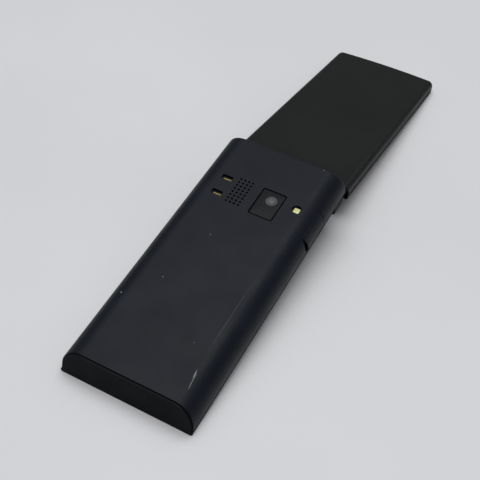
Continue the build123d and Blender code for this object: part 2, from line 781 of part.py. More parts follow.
# Hinge unit in the left ear, hollow pin in the right ear, flex between board and lid
with BuildPart() as hinge_unit:
    hinge_bar(-unit_end_x, -ear_inner, unit_radius)
    hinge_bar(-unit_end_x + 0.6, -ear_inner + margin / 50, shaft_radius + running, Mode.SUBTRACT)
write(hinge_unit, "hinge_unit", base_pose)
pin_start_x = knuckle_half - pin_in_knuckle
with BuildPart() as hinge_pin:
    hinge_bar(pin_start_x, pin_end_x, pin_radius)
    hinge_bar(pin_start_x, pin_end_x, pin_radius - pin_wall, Mode.SUBTRACT)
write(hinge_pin, "hinge_pin", base_pose)
flex_rise_x = (flex_join_x + flex_end_x) / 2
flex_rise_y = axis_y - flex_roll_radius
flex_board_y = board_end - 1.0
with BuildPart() as base_flex:
    hinge_bar(flex_join_x, flex_end_x, flex_roll_radius)
    block(
        (flex_rise_x - flex_thickness / 2, flex_rise_y, axis_z),
        (flex_rise_x + flex_thickness / 2, axis_y, board_low),
    )
    block(
        (flex_rise_x - 1.5, flex_board_y, board_low - flex_thickness),
        (flex_rise_x + flex_thickness / 2, flex_rise_y + 0.4, board_low),
    )
write(base_flex, "base_flex", base_pose)

# Keys: cap, flange behind the fascia and a post over its plunger
for label, (centre, size) in key_places.items():
    with BuildPart() as key:
        add(plate(centre, size, -key_proud, flange_low, key_corner - key_side_gap))
        chamfer(key.faces().sort_by(Axis.Z)[0].edges(), key_chamfer)
        flange_size = (size[0] + 2 * key_flange, size[1] + 2 * key_flange)
        add(plate(centre, flange_size, flange_low, flange_high, key_corner))
        post(centre, post_radius, flange_high, post_high)
    write(key, label, base_pose)

# Direction ring, its rocker pad and the centre key
flange_start = fascia_thickness + nav_lift
flange_end = flange_start + nav_flange_thickness
nav_pad_low = flange_start + nav_pad_gap
with BuildPart() as nav_ring:
    post(nav_centre, nav_radius, -nav_proud, flange_start)
    chamfer(nav_ring.faces().sort_by(Axis.Z)[0].edges(), key_chamfer)
    post(nav_centre, nav_flange_outer, flange_start, flange_end)
    post(nav_centre, nav_flange_inner, flange_start, flange_end, Mode.SUBTRACT)
    post(nav_centre, nav_hole_radius, -margin, margin, Mode.SUBTRACT)
write(nav_ring, "nav_ring", base_pose)
with BuildPart() as nav_pad:
    post(nav_centre, nav_pad_outer, nav_pad_low, nav_pad_low + nav_pad_thickness)
    post(nav_centre, nav_pad_inner, 0, margin, Mode.SUBTRACT)
write(nav_pad, "nav_pad", base_pose)
with BuildPart() as centre_key:
    post(nav_centre, centre_key_radius, -nav_proud, post_high)
    chamfer(centre_key.faces().sort_by(Axis.Z)[0].edges(), key_chamfer)
write(centre_key, "centre_key", base_pose)

# Lid back shell
lid_outer = lid_form(0, lid_back_level, lid_face_level, lid_back_rounding, 0)
inner_back = lid_back_level + lid_back_wall
lid_hollow = lid_form(
    lid_wall, inner_back, lid_seam + margin, lid_back_rounding - lid_back_wall, lid_start + lid_wall
)
lid_screws_at = both_sides([lid_screw_places])
with BuildPart() as lid_back:
    add(lid_outer)
    split(bisect_by=Plane.XY.offset(lid_seam), keep=Keep.BOTTOM)
    hinge_bar(-half_width, half_width, lid_start, Mode.SUBTRACT)
    add(lid_hollow, mode=Mode.SUBTRACT)
    for place in lid_screws_at:
        post(place, lid_screw_head_radius + 0.4, inner_back, lid_seam)
        post(place, lid_screw_shank_radius + snug, inner_back + 0.2, lid_seam, Mode.SUBTRACT)
write(lid_back, "lid_back", lid_pose)

# Lid front frame, with the hinge knuckle between the ears
glass_centre = (0, glass_centre_y)
glass_bottom = lid_face_level - glass_thickness
frame_inner = glass_bottom - glass_ledge
frame_hollow = lid_form(lid_wall, lid_seam - margin, frame_inner, 0, lid_start + lid_wall)
glass_recess = (glass_size[0] + 2 * glass_gap, glass_size[1] + 2 * glass_gap)
web_start = axis_y - lid_start
flex_slot_end = web_start - 2 * lid_wall
with BuildPart() as web:
    block((-knuckle_half, web_start - margin, lid_back_level), (knuckle_half, axis_y, lid_seam))
    with Locations(Location((0, axis_y, axis_z), (0, 90, 0))):
        Cylinder(lid_start, 4 * knuckle_half, mode=Mode.INTERSECT)
with BuildPart() as lid_frame:
    add(lid_outer)
    split(bisect_by=Plane.XY.offset(lid_seam), keep=Keep.TOP)
    face_edges = lid_frame.faces().sort_by(Axis.Z)[-1].edges().sort_by(Axis.Y)[:-1]
    fillet(face_edges, contact_rounding)
    add(web.part)
    hinge_bar(knuckle_half, lid_width, lid_start, Mode.SUBTRACT)
    hinge_bar(-lid_width, -knuckle_half, lid_start, Mode.SUBTRACT)
    hinge_bar(-knuckle_half, knuckle_half, barrel_radius)
    add(frame_hollow, mode=Mode.SUBTRACT)
    add(plate(glass_centre, glass_recess, glass_bottom, 0, glass_corner), mode=Mode.SUBTRACT)
    add(plate(glass_centre, view_size, -margin, 0, 0.5), mode=Mode.SUBTRACT)
    add(plate((0, earpiece_y), earpiece_slot, -margin, 0, 0.5), mode=Mode.SUBTRACT)
    for x in (-bumper_places[0], bumper_places[0]):
        post((x, bumper_places[1]), bumper_radius + part_gap, lid_face_level - bumper_sunk, 0, Mode.SUBTRACT)
    for place in lid_screws_at:
        post(place, lid_screw_head_radius + 0.4, lid_seam, lid_face_level)
        post(place, lid_screw_shank_radius + part_gap, lid_seam - 1, 0, Mode.SUBTRACT)
        post(place, lid_screw_head_radius + part_gap, lid_face_level - lid_screw_head_height - 0.1, 0,
             Mode.SUBTRACT)
    hinge_bar(-knuckle_half - 1, -knuckle_half + 7.8, shaft_radius + snug, Mode.SUBTRACT)
    hinge_bar(pin_start_x - 0.2, knuckle_half + 1, pin_radius + running, Mode.SUBTRACT)
    hinge_bar(knuckle_half / 2, knuckle_half, flex_roll_radius + part_gap, Mode.SUBTRACT)
    block(
        (knuckle_half / 2, flex_slot_end, axis_z - flex_thickness),
        (pin_start_x - 2 * part_gap, axis_y, axis_z + flex_thickness),
        Mode.SUBTRACT,
    )
write(lid_frame, "lid_frame", lid_pose)

# Display window, panel and the sheet that holds them
with BuildPart() as display_window:
    add(plate(glass_centre, glass_size, glass_bottom, lid_face_level - 0.05, glass_corner - glass_gap))
write(display_window, "display_window", lid_pose)
panel_low = frame_inner - panel_thickness
with BuildPart() as display_panel:
    add(plate(glass_centre, panel_size, panel_low, frame_inner, 0.8))
write(display_panel, "display_panel", lid_pose)
with BuildPart() as display_holder:
    holder_size = (panel_size[0] + 2 * holder_margin, panel_size[1] + 2 * holder_margin)
    add(plate(glass_centre, holder_size, panel_low - holder_thickness, panel_low, 1.0))
    rib_x = panel_size[0] / 2 - 1.0
    for x in (-rib_x, rib_x):
        block(
            (x - 0.4, glass_centre_y - panel_size[1] / 2, inner_back),
            (x + 0.4, glass_centre_y + panel_size[1] / 2, panel_low - holder_thickness),
        )
write(display_holder, "display_holder", lid_pose)

# Earpiece, magnet, bumpers and screws of the lid
with BuildPart() as earpiece:
    add(plate((0, earpiece_y), earpiece_size[:2], frame_inner - earpiece_size[2], frame_inner, 1.0))
write(earpiece, "earpiece", lid_pose)
with BuildPart() as lid_magnet:
    add(plate(magnet_centre, magnet_size[:2], frame_inner - magnet_size[2], frame_inner, 0.2))
write(lid_magnet, "lid_magnet", lid_pose)
with BuildPart() as lid_bumpers:
    for x in (-bumper_places[0], bumper_places[0]):
        bumper_low = lid_face_level - bumper_sunk
        post((x, bumper_places[1]), bumper_radius, bumper_low, lid_face_level + bumper_proud)
write(lid_bumpers, "lid_bumpers", lid_pose)
with BuildPart() as lid_screws:
    for place in lid_screws_at:
        head_low = lid_face_level - lid_screw_head_height - 0.1
        post(place, lid_screw_head_radius, head_low, head_low + lid_screw_head_height)
        post(place, lid_screw_shank_radius, inner_back + 0.4, head_low)
write(lid_screws, "lid_screws", lid_pose)

# Hinge shaft from the knuckle into the unit, and the lid's flex rolled inside the pin
with BuildPart() as hinge_shaft:
    hinge_bar(-unit_end_x + 1.0, -knuckle_half + 7.6, shaft_radius)
write(hinge_shaft, "hinge_shaft", lid_pose)
with BuildPart() as lid_flex:
    hinge_bar(knuckle_half / 2 + part_gap, flex_join_x, flex_roll_radius)
    block(
        (knuckle_half / 2 + part_gap, flex_slot_end - 3.0, axis_z - flex_thickness / 2),
        (pin_start_x - 3 * part_gap, axis_y, axis_z + flex_thickness / 2),
    )
write(lid_flex, "lid_flex", lid_pose)
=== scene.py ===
"""Blender scene of an open clamshell mobile phone that lies face down on a pale table.

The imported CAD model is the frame: every body, joint and outer size comes from it. This
script gives each piece its real surface, adds what the solids leave out (the woven speaker
cloth, lens elements, key legends, contact pads, screw recesses) and sets table, light and
camera.
"""

import json
import logging
import math
from dataclasses import dataclass, field
from enum import Enum

import bmesh
import bpy
from mathutils import Matrix, Vector

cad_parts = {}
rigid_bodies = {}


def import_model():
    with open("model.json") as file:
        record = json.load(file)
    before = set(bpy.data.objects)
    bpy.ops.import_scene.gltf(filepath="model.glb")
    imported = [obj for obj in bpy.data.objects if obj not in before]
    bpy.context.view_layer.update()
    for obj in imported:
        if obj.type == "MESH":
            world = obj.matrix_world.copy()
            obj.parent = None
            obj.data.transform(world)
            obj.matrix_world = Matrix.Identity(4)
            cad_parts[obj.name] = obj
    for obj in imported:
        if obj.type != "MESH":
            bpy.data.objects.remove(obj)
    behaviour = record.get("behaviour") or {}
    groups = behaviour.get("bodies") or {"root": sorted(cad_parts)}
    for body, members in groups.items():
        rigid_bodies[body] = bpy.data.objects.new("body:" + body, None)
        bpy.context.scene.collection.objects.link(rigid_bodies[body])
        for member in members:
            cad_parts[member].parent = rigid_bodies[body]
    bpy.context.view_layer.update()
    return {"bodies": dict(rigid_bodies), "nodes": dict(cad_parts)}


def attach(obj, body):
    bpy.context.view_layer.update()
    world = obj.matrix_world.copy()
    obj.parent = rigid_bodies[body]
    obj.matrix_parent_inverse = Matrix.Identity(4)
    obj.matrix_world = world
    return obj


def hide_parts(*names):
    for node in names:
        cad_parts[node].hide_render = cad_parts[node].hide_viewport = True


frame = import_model()

log = logging.getLogger("clamshell")

MM = 0.001
IMAGE_SIDE = 480
WELD = 0.002 * MM
FLAT_DEGREES = 0.2  # faces that bend less than this become one
SHARP_DEGREES = 40  # edges that bend more than this are rounded
NOISE_LOW, NOISE_HIGH = 0.3, 0.7  # nearly all of a noise lies between them
SIGN_LINE = 0.32
CLEAR = 0.02  # mm by which an added surface stays off its neighbour

Form = bmesh.types.BMesh
Mesh = bpy.types.Mesh
Tree = bpy.types.NodeTree
Node = bpy.types.Node
Socket = bpy.types.NodeSocket
Pair = tuple[float, float]
Place = tuple[float, float, float]
Outline = list[Pair]
Ring = list[bmesh.types.BMVert]


# Nodes and colours

def linear(hex_colour: str) -> tuple[float, float, float, float]:
    """Turn an sRGB hex colour into linear red, green, blue and alpha.

    Args:
        hex_colour: Six hex digits, with or without a leading hash.

    Returns:
        The four linear channels, alpha 1.
    """
    digits = hex_colour.lstrip("#")
    channels = []
    for start in (0, 2, 4):
        value = int(digits[start:start + 2], 16) / 255
        channels.append(value / 12.92 if value <= 0.04045 else ((value + 0.055) / 1.055) ** 2.4)
    return channels[0], channels[1], channels[2], 1.0


def live(sockets: bpy.types.bpy_prop_collection, key: str | int) -> Socket:
    """Find a socket by number, or by name among those in use.

    Args:
        sockets: A node's inputs or outputs.
        key: The socket's number or name.

    Returns:
        The socket.
    """
    if isinstance(key, int):
        return sockets[key]
    return next(socket for socket in sockets if socket.name == key and socket.enabled)


def add_node(
    tree: Tree,
    kind: str,
    links: dict[str | int, Node | Socket] | None = None,
    values: dict[str | int, object] | None = None,
    **settings: object,
) -> Node:
    """Add one node with its settings, socket values and incoming links.

    Args:
        tree: The material or geometry tree that gets the node.
        kind: Blender's identifier of the node type.
        links: What to join to each input: a socket, or a node for its first output in use.
        values: Default values, by the name or number of the input.
        **settings: Attributes set on the node itself.

    Returns:
        The new node.
    """
    node = tree.nodes.new(kind)
    for key, value in settings.items():
        setattr(node, key, value)
    for key, value in (values or {}).items():
        live(node.inputs, key).default_value = value
    for key, source in (links or {}).items():
        if isinstance(source, Node):
            source = next(socket for socket in source.outputs if socket.enabled)
        tree.links.new(source, live(node.inputs, key))
    return node


def per_metre(size_mm: float) -> float:
    """Return the texture scale at which one feature of a pattern is this long."""
    return 1 / (size_mm * MM)


def shown(name: str, data: bpy.types.ID) -> bpy.types.Object:
    """Make an object and link it to the scene.

    Args:
        name: Name of the object.
        data: Its mesh, text, lamp or camera.

    Returns:
        The object.
    """
    item = bpy.data.objects.new(name, data)
    bpy.context.scene.collection.objects.link(item)
    return item


# Finishes

@dataclass(frozen=True)
class Finish:
    """A surface with a fine grain, a slow change of tone and an even gloss.

    Sizes are in millimetres. Grain is the moulded, sprayed or rolled texture, and tone is
    the slow cloudiness that handling and moulding leave.
    """

    name: str
    colour: str
    roughness: float = 0.45
    metallic: float = 0.0
    ior: float = 1.5
    grain_mm: float = 0.5
    grain_height_mm: float = 0.006
    tone_mm: float = 14.0
    tone_spread: float = 0.12
    gloss_spread: float = 0.06
    coat: float = 0.0
    coat_roughness: float = 0.1
    sheen: float = 0.0
    smudge_share: float = 0.6

    def clouds(
        self, tree: Tree, place: Socket, noise: dict[str, float], low: float, high: float
    ) -> Node:
        """Build slow noise between two values.

        Args:
            tree: The material's node tree.
            place: Object coordinates.
            noise: Settings of the noise.
            low: The lowest value.
            high: The highest value.

        Returns:
            The node that gives the value.
        """
        cloud = add_node(tree, "ShaderNodeTexNoise", {"Vector": place}, noise)
        return add_node(
            tree, "ShaderNodeMapRange", {"Value": cloud},
            {"From Min": NOISE_LOW, "From Max": NOISE_HIGH, "To Min": low, "To Max": high},
        )

    def colour_node(self, tree: Tree, place: Socket) -> Node:
        """Build the colour: the written one, a little lighter and darker in slow clouds.

        Args:
            tree: The material's node tree.
            place: Object coordinates.

        Returns:
            The node that gives the colour.
        """
        noise = {"Scale": per_metre(self.tone_mm), "Detail": 3.0, "Roughness": 0.55}
        gain = self.clouds(tree, place, noise, 1 - self.tone_spread, 1 + self.tone_spread)
        return add_node(
            tree, "ShaderNodeHueSaturation", {"Value": gain}, {"Color": linear(self.colour)}
        )

    def height_node(self, tree: Tree, place: Socket) -> Node:
        """Build the grain's height, from 0 to 1.

        Args:
            tree: The material's node tree.
            place: Object coordinates.

        Returns:
            The node that gives the height.
        """
        return add_node(
            tree, "ShaderNodeTexNoise", {"Vector": place},
            {"Scale": per_metre(self.grain_mm), "Detail": 2.0},
        )

    def build(self) -> bpy.types.Material:
        """Build the material, unless it is there already.

        Returns:
            The material.
        """
        known = bpy.data.materials.get(self.name)
        if known is not None:
            return known
        material = bpy.data.materials.new(self.name)
        material.use_nodes = True
        tree = material.node_tree
        tree.nodes.clear()
        place = add_node(tree, "ShaderNodeTexCoord").outputs["Object"]
        bump = add_node(
            tree, "ShaderNodeBump", {"Height": self.height_node(tree, place)},
            {"Strength": 1.0, "Distance": self.grain_height_mm * MM},
        )
        smudge = {"Scale": per_metre(self.tone_mm * self.smudge_share), "Detail": 4.0}
        low, high = self.roughness - self.gloss_spread, self.roughness + self.gloss_spread
        shader = add_node(
            tree, "ShaderNodeBsdfPrincipled",
            {
                "Base Color": self.colour_node(tree, place),
                "Roughness": self.clouds(tree, place, smudge, low, high),
                "Normal": bump,
            },
            {
                "Metallic": self.metallic,
                "IOR": self.ior,
                "Coat Weight": self.coat,
                "Coat Roughness": self.coat_roughness,
                "Sheen Weight": self.sheen,
            },
        )
        add_node(tree, "ShaderNodeOutputMaterial", {"Surface": shader})
        return material

    def dress(self, piece: bpy.types.Object) -> None:
        """Make this the only finish of a piece.

        Args:
            piece: The object that gets it.
        """
        faces = piece.data.polygons
        piece.data.materials.clear()
        piece.data.materials.append(self.build())
        faces.foreach_set("material_index", [0] * len(faces))


@dataclass(frozen=True)
class Mark:
    """A pale mark on the paint of the keypad half's back: a scratch, a speck, or a line of painted
    highlight.
    """

    start: Pair
    end: Pair
    width_mm: float
    strength: float


@dataclass(frozen=True)
class SoftTouchPaint(Finish):
    """Soft-touch paint on polycarbonate: a fine rubbery coat, satin and slightly dusty.

    Sharp knocks cut it to the paler primer, as scratches and specks. One faint long pale line on
    the right shoulder's crest is a painted highlight.
    """

    marks: tuple[Mark, ...] = ()
    mark_colour: str = "#9A9C9C"
    wander_mm: float = 1.6
    full_reach: float = 1.1
    faded_reach: float = 1.5

    def colour_node(self, tree: Tree, place: Socket) -> Node:
        """Build the clouded colour, with the paler marks over it, one of them a painted highlight.

        Args:
            tree: The material's node tree.
            place: Object coordinates.

        Returns:
            The node that gives the colour.
        """
        colour = Finish.colour_node(self, tree, place)
        wander = add_node(
            tree, "ShaderNodeTexNoise", {"Vector": place},
            {"Scale": per_metre(self.wander_mm), "Detail": 2.0},
        )
        for mark in self.marks:
            colour = self._marked(tree, place, wander, colour, mark)
        return colour

    def _marked(self, tree: Tree, place: Socket, wander: Node, colour: Node, mark: Mark) -> Node:
        """Lay one mark over a colour.

        Args:
            tree: The material's node tree.
            place: Object coordinates.
            wander: Noise that makes the mark's edge uneven.
            colour: The colour under the mark.
            mark: The mark, on the back of the keypad half.

        Returns:
            The node that gives the colour with the mark.
        """
        start, end = base_point(*mark.start), base_point(*mark.end)
        run = end - start
        half_width = mark.width_mm * MM / 2
        local = add_node(
            tree, "ShaderNodeMapping", {"Vector": place},
            {
                "Location": (start + end) / 2,
                "Rotation": (0.0, 0.0, math.atan2(run.y, run.x)),
                "Scale": (max(run.length / 2, half_width), half_width, 1.0),
            },
            vector_type="TEXTURE",
        )
        flat = add_node(
            tree, "ShaderNodeVectorMath", {0: local}, {1: (1.0, 1.0, 0.0)}, operation="MULTIPLY"
        )
        reach = add_node(tree, "ShaderNodeVectorMath", {0: flat}, operation="LENGTH")
        uneven = add_node(tree, "ShaderNodeMath", {0: reach, 1: wander}, operation="ADD")
        amount = add_node(
            tree, "ShaderNodeMapRange", {"Value": uneven},
            {
                "From Min": self.full_reach, "From Max": self.faded_reach,
                "To Min": mark.strength, "To Max": 0.0,
            },
        )
        return add_node(
            tree, "ShaderNodeMix", {"Factor": amount, "A": colour},
            {"B": linear(self.mark_colour)}, data_type="RGBA",
        )


@dataclass(frozen=True)
class BrushedSheet(Finish):
    """Rolled and brushed sheet metal, with fine lines along one direction."""

    line_mm: float = 0.25
    stretch: float = 30.0

    def height_node(self, tree: Tree, place: Socket) -> Node:
        """Build the brushing: noise drawn out along the phone.

        Args:
            tree: The material's node tree.
            place: Object coordinates.

        Returns:
            The node that gives the height.
        """
        drawn = add_node(
            tree, "ShaderNodeMapping", {"Vector": place}, {"Scale": (1.0, 1 / self.stretch, 1.0)}
        )
        return add_node(
            tree, "ShaderNodeTexNoise", {"Vector": drawn},
            {"Scale": per_metre(self.line_mm), "Detail": 3.0},
        )


@dataclass(frozen=True)
class CircuitBoard(Finish):
    """Glass-fibre board under green solder resist, with copper tracks that show through."""

    track_colour: str = "#2F7A46"
    cell_mm: float = 3.3
    rings_per_cell: float = 6.0
    gap_share: float = 0.7

    def colour_node(self, tree: Tree, place: Socket) -> Node:
        """Build the resist's green with paler tracks in straight runs.

        Args:
            tree: The material's node tree.
            place: Object coordinates.

        Returns:
            The node that gives the colour.
        """
        cells = add_node(
            tree, "ShaderNodeTexVoronoi", {"Vector": place}, {"Scale": per_metre(self.cell_mm)},
            distance="MANHATTAN",
        )
        rings = add_node(
            tree, "ShaderNodeMath", {0: cells}, {1: self.rings_per_cell}, operation="MULTIPLY"
        )
        part = add_node(tree, "ShaderNodeMath", {0: rings}, operation="FRACT")
        track = add_node(
            tree, "ShaderNodeMath", {0: part}, {1: self.gap_share}, operation="GREATER_THAN"
        )
        return add_node(
            tree, "ShaderNodeMix", {"Factor": track},
            {"A": linear(self.colour), "B": linear(self.track_colour)}, data_type="RGBA",
        )


@dataclass(frozen=True)
class ZonedFinish(Finish):
    """A finish whose colour changes inside one rectangle of the closed phone."""

    half_size: Pair = (10.0, 10.0)
    centre: Pair = (0.0, 0.0)
    on_lid: bool = False
    inner_colour: str = "#FFFFFF"

    def colour_node(self, tree: Tree, place: Socket) -> Node:
        """Build the clouded colour, with the other colour inside the rectangle.

        Args:
            tree: The material's node tree.
            place: Object coordinates.

        Returns:
            The node that gives the colour.
        """
        pose = lid_pose if self.on_lid else base_pose
        local = add_node(
            tree, "ShaderNodeMapping", {"Vector": place},
            {
                "Location": pose @ Vector((self.centre[0] * MM, self.centre[1] * MM, 0.0)),
                "Rotation": pose.to_euler(),
                "Scale": (self.half_size[0] * MM, self.half_size[1] * MM, 1.0),
            },
            vector_type="TEXTURE",
        )
        reach = add_node(tree, "ShaderNodeVectorMath", {0: local}, operation="ABSOLUTE")
        sides = add_node(tree, "ShaderNodeSeparateXYZ", {"Vector": reach})
        furthest = add_node(
            tree, "ShaderNodeMath", {0: sides.outputs["X"], 1: sides.outputs["Y"]},
            operation="MAXIMUM",
        )
        outside = add_node(
            tree, "ShaderNodeMath", {0: furthest}, {1: 1.0}, operation="GREATER_THAN"
        )
        return add_node(
            tree, "ShaderNodeMix",
            {"Factor": outside, "B": Finish.colour_node(self, tree, place)},
            {"A": linear(self.inner_colour)}, data_type="RGBA",
        )


# The real materials

class Materials(Enum):
    """Finishes of the phone's pieces, named for what the real ones are made of."""

    # Rubbery spray paint on the rear cover: satin, takes dust and greasy smudges, so its
    # gloss changes slowly over the surface; knocks cut through to a paler primer. One faint
    # long pale line on the right shoulder's crest is a painted highlight.
    REAR_PAINT = SoftTouchPaint(
        "soft_touch_paint_on_polycarbonate", "#141820", roughness=0.46, ior=1.23, gloss_spread=0.05,
        grain_mm=0.6, grain_height_mm=0.004, tone_mm=22, tone_spread=0.12,
        marks=(
            Mark((18.34, 17.2), (19.0, 12.5), 0.45, 0.75),
            Mark((19.0, 13.0), (19.53, 8.9), 0.3, 0.5),
            Mark((18.9, 16.4), (19.35, 10.6), 0.18, 0.35),
            Mark((16.72, 115.2), (17.0, 115.3), 0.8, 0.4),
            Mark((-5.9, 67.3), (-5.5, 67.5), 0.8, 0.25),
            Mark((-10.9, 43.1), (-10.8, 43.2), 0.5, 0.6),
            Mark((-20.3, 30.9), (-20.1, 31.1), 0.6, 0.8),
            Mark((12.2, 24.9), (12.4, 25.0), 0.4, 0.5),
            # Painted highlight: a faint pale line along the crest of the right shoulder, not a
            # scratch.
            Mark((18.0, 22.0), (18.0, 58.0), 0.5, 0.07),
        ),
    )
    # Moulded ABS of the front case and the end block: fine spark texture, half matt.
    CASE_ABS = Finish("moulded_black_abs", "#15171A", roughness=0.55, ior=1.15)
    # Clear-coated paint on the lid's back: smoother and more neutral than the cover.
    LID_PAINT = Finish(
        "satin_lacquer_on_polycarbonate", "#1E201F", roughness=0.42, ior=1.23, gloss_spread=0.04,
        grain_mm=0.8, grain_height_mm=0.003, tone_mm=30, tone_spread=0.1,
    )
    # Painted frame round the display: deep black, rubbed to a half gloss.
    FRAME_PAINT = Finish("gloss_black_paint_on_abs", "#080808", ior=1.1)
    # Hard-coated acrylic plate of the camera window: dark tint printed on its underside.
    WINDOW_ACRYLIC = Finish(
        "tinted_acrylic_plate", "#181B1C", roughness=0.38, ior=1.18, grain_height_mm=0.001,
        gloss_spread=0.04, tone_spread=0.06,
    )
    # Near-black foam band at the bottom of the window's groove: painted shade, standing in for the
    # groove's own shade; it swallows light.
    GASKET = Finish("black_gasket_foam", "#040404", roughness=0.9, ior=1.1, grain_mm=0.2)
    # Mineral glass over the camera, frosted grey by wear.
    LENS_GLASS = Finish(
        "worn_mineral_glass", "#4A4D4E", roughness=0.35, ior=1.18, grain_height_mm=0.001,
        coat=0.15, tone_mm=2.5,
    )
    # Anti-reflection coated element behind it, with a faint blue bloom.
    LENS_COATING = Finish(
        "coated_lens_element", "#585C5D", roughness=0.3, ior=1.25, grain_height_mm=0.0005,
        coat=0.1, tone_spread=0.03,
    )
    # Glass-filled nylon of the inner case: dull, with flow clouds.
    INNER_NYLON = Finish(
        "glass_filled_nylon", "#232527", roughness=0.6, grain_mm=0.7, grain_height_mm=0.012,
        tone_spread=0.2,
    )
    # Hard-coated keys, smooth and a little brighter than the case.
    KEY_CAP = Finish(
        "hard_coated_key_caps", "#1A1C1F", roughness=0.28, grain_height_mm=0.002, coat=0.3
    )
    # Pad-printed inks on the keys: opaque, flat and even, half matt.
    LEGEND_INK, CALL_INK, END_INK = (
        Finish(
            f"{hue}_pad_printing_ink", colour, roughness=0.5, grain_height_mm=0.001,
            tone_spread=0.05,
        )
        for hue, colour in (("white", "#DADCDC"), ("green", "#3DA05A"), ("red", "#C0443C"))
    )
    # Silicone of the key mat and the lid's bumpers: dull and slightly dusty.
    SILICONE = Finish("grey_silicone_rubber", "#5B5E60", roughness=0.7, grain_mm=0.4, sheen=0.2)
    # Polyimide film: dome sheet, and the flexible circuits' cover layer.
    FILM = Finish("amber_polyimide_film", "#8A5A22", roughness=0.32, grain_height_mm=0.001)
    # Solder resist on glass-fibre board: green gloss over paler copper tracks.
    BOARD = CircuitBoard("green_solder_resist", "#174A2A", roughness=0.35)
    # Rolled nickel silver of cans, sockets and screws: bright, brushed by the rolling.
    STEEL = BrushedSheet(
        "rolled_nickel_silver", "#B9BAB6", metallic=1.0, roughness=0.3, grain_height_mm=0.002
    )
    # Heat-shrunk film round the battery cell, with a silver-grey label.
    BATTERY_FILM = ZonedFinish(
        "battery_label_film", "#2A2C2E", roughness=0.38, grain_height_mm=0.002, tone_spread=0.06,
        half_size=(16.6, 23.6), centre=(0.0, 37.6), inner_colour="#9A9DA0",
    )
    # Gold plating on the sprung contacts, rubbed dull by the cradle's pins.
    GOLD = Finish(
        "hard_gold_plating", "#86764A", metallic=1.0, roughness=0.5, grain_mm=0.3,
        grain_height_mm=0.003,
    )
    # Yellow phosphor over the light's die, under clear silicone.
    PHOSPHOR = Finish(
        "yellow_phosphor", "#CFD08E", roughness=0.35, grain_mm=0.2, grain_height_mm=0.002,
        coat=0.3,
    )
    # Moulded cup round the light: black, smooth from the tool.
    REFLECTOR = Finish("black_moulded_cup", "#1A1A18", roughness=0.4, grain_height_mm=0.001)
    # Display glass, unlit: deep black with a cool cast under a hard coat.
    DISPLAY = ZonedFinish(
        "unlit_display_glass", "#070708", roughness=0.08, grain_height_mm=0.0003,
        coat=1.0, coat_roughness=0.03, tone_spread=0.02, gloss_spread=0.02,
        half_size=(19.2, 34.0), centre=(0.0, 54.3), on_lid=True, inner_colour="#1B1D22",
    )
    # Thin moulded film of the speaker's cone: satin, almost black.
    CONE_FILM = Finish("moulded_speaker_film", "#18191B", roughness=0.35, grain_height_mm=0.001)
    # Woven polyester cloth behind sound openings: dull, with a soft edge of light.
    CLOTH = Finish("woven_polyester_thread", "#101112", roughness=0.75, grain_mm=0.15, sheen=0.3)
    # Pale laminate of the table: even, with a fine satin grain.
    TABLE = Finish(
        "pale_laminate", "#DADADC", roughness=0.55, grain_mm=2.0, grain_height_mm=0.004,
        tone_mm=150, tone_spread=0.02,
    )


# Places: the part is drawn closed, then opened and laid on the table

REST_TILT = math.radians(8.5572386)
REST_SHIFT = (0.0, -115.8499849 * MM, -0.0712791 * MM)
OPENING = math.radians(165.8)
HINGE_AXIS = (0.0, 116.2 * MM, -3.16 * MM)
BODY_THICKNESS = 11.1

base_pose = Matrix.Translation(REST_SHIFT) @ Matrix.Rotation(REST_TILT, 4, "X")
lid_pose = (
    base_pose
    @ Matrix.Translation(HINGE_AXIS)
    @ Matrix.Rotation(OPENING, 4, "X")
    @ Matrix.Translation([-length for length in HINGE_AXIS])
)


def base_point(x: float, y: float) -> Vector:
    """Turn millimetres on the closed phone's back into the place on it at rest."""
    return base_pose @ Vector((x * MM, y * MM, BODY_THICKNESS * MM))


@dataclass(frozen=True)
class Box:
    """Room that something takes in the closed phone, in millimetres."""

    low: Vector
    high: Vector

    @property
    def middle(self) -> Vector:
        """Its centre."""
        return (self.low + self.high) / 2

    @property
    def size(self) -> Vector:
        """Its length along each axis."""
        return self.high - self.low


def box_round(vertices: list[bmesh.types.BMVert], pose: Matrix) -> Box:
    """Measure vertices in the frame of the closed phone.

    Args:
        vertices: The vertices, where they are at rest.
        pose: The pose of their half of the phone, base_pose or lid_pose.

    Returns:
        Their box.
    """
    back = pose.inverted()
    points = [back @ vertex.co / MM for vertex in vertices]
    corners = (
        Vector([pick(point[axis] for point in points) for axis in range(3)])
        for pick in (min, max)
    )
    return Box(*corners)


def closed_box(node: str, pose: Matrix) -> Box:
    """Measure a CAD node in the frame of the closed phone."""
    return box_round(frame["nodes"][node].data.vertices, pose)


# Making pieces

def piece_from(
    mesh: Mesh,
    name: str,
    body: str,
    material: Materials,
    replaced: tuple[str, ...] = (),
) -> None:
    """Make a finished mesh a piece of the phone.

    Args:
        mesh: The mesh, in place in the row frame.
        name: Name of the piece.
        body: The CAD body that it rides on.
        material: What it is made of.
        replaced: CAD nodes that it stands for.
    """
    mesh.name = name
    piece = shown(name, mesh)
    material.value.dress(piece)
    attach(piece, body)
    if replaced:
        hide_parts(*replaced)
    log.info("piece %s: %d faces, rides on %s", name, len(mesh.polygons), body)


def shaded(form: Form, smooth_degrees: float) -> Mesh:
    """Turn a mesh under construction into a plain mesh.

    Args:
        form: The mesh under construction, in metres; it is freed.
        smooth_degrees: Edges flatter than this shade smooth.

    Returns:
        The plain mesh.
    """
    mesh = bpy.data.meshes.new("form")
    form.to_mesh(mesh)
    form.free()
    mesh.shade_smooth()
    mesh.set_sharp_from_angle(angle=math.radians(smooth_degrees))
    return mesh


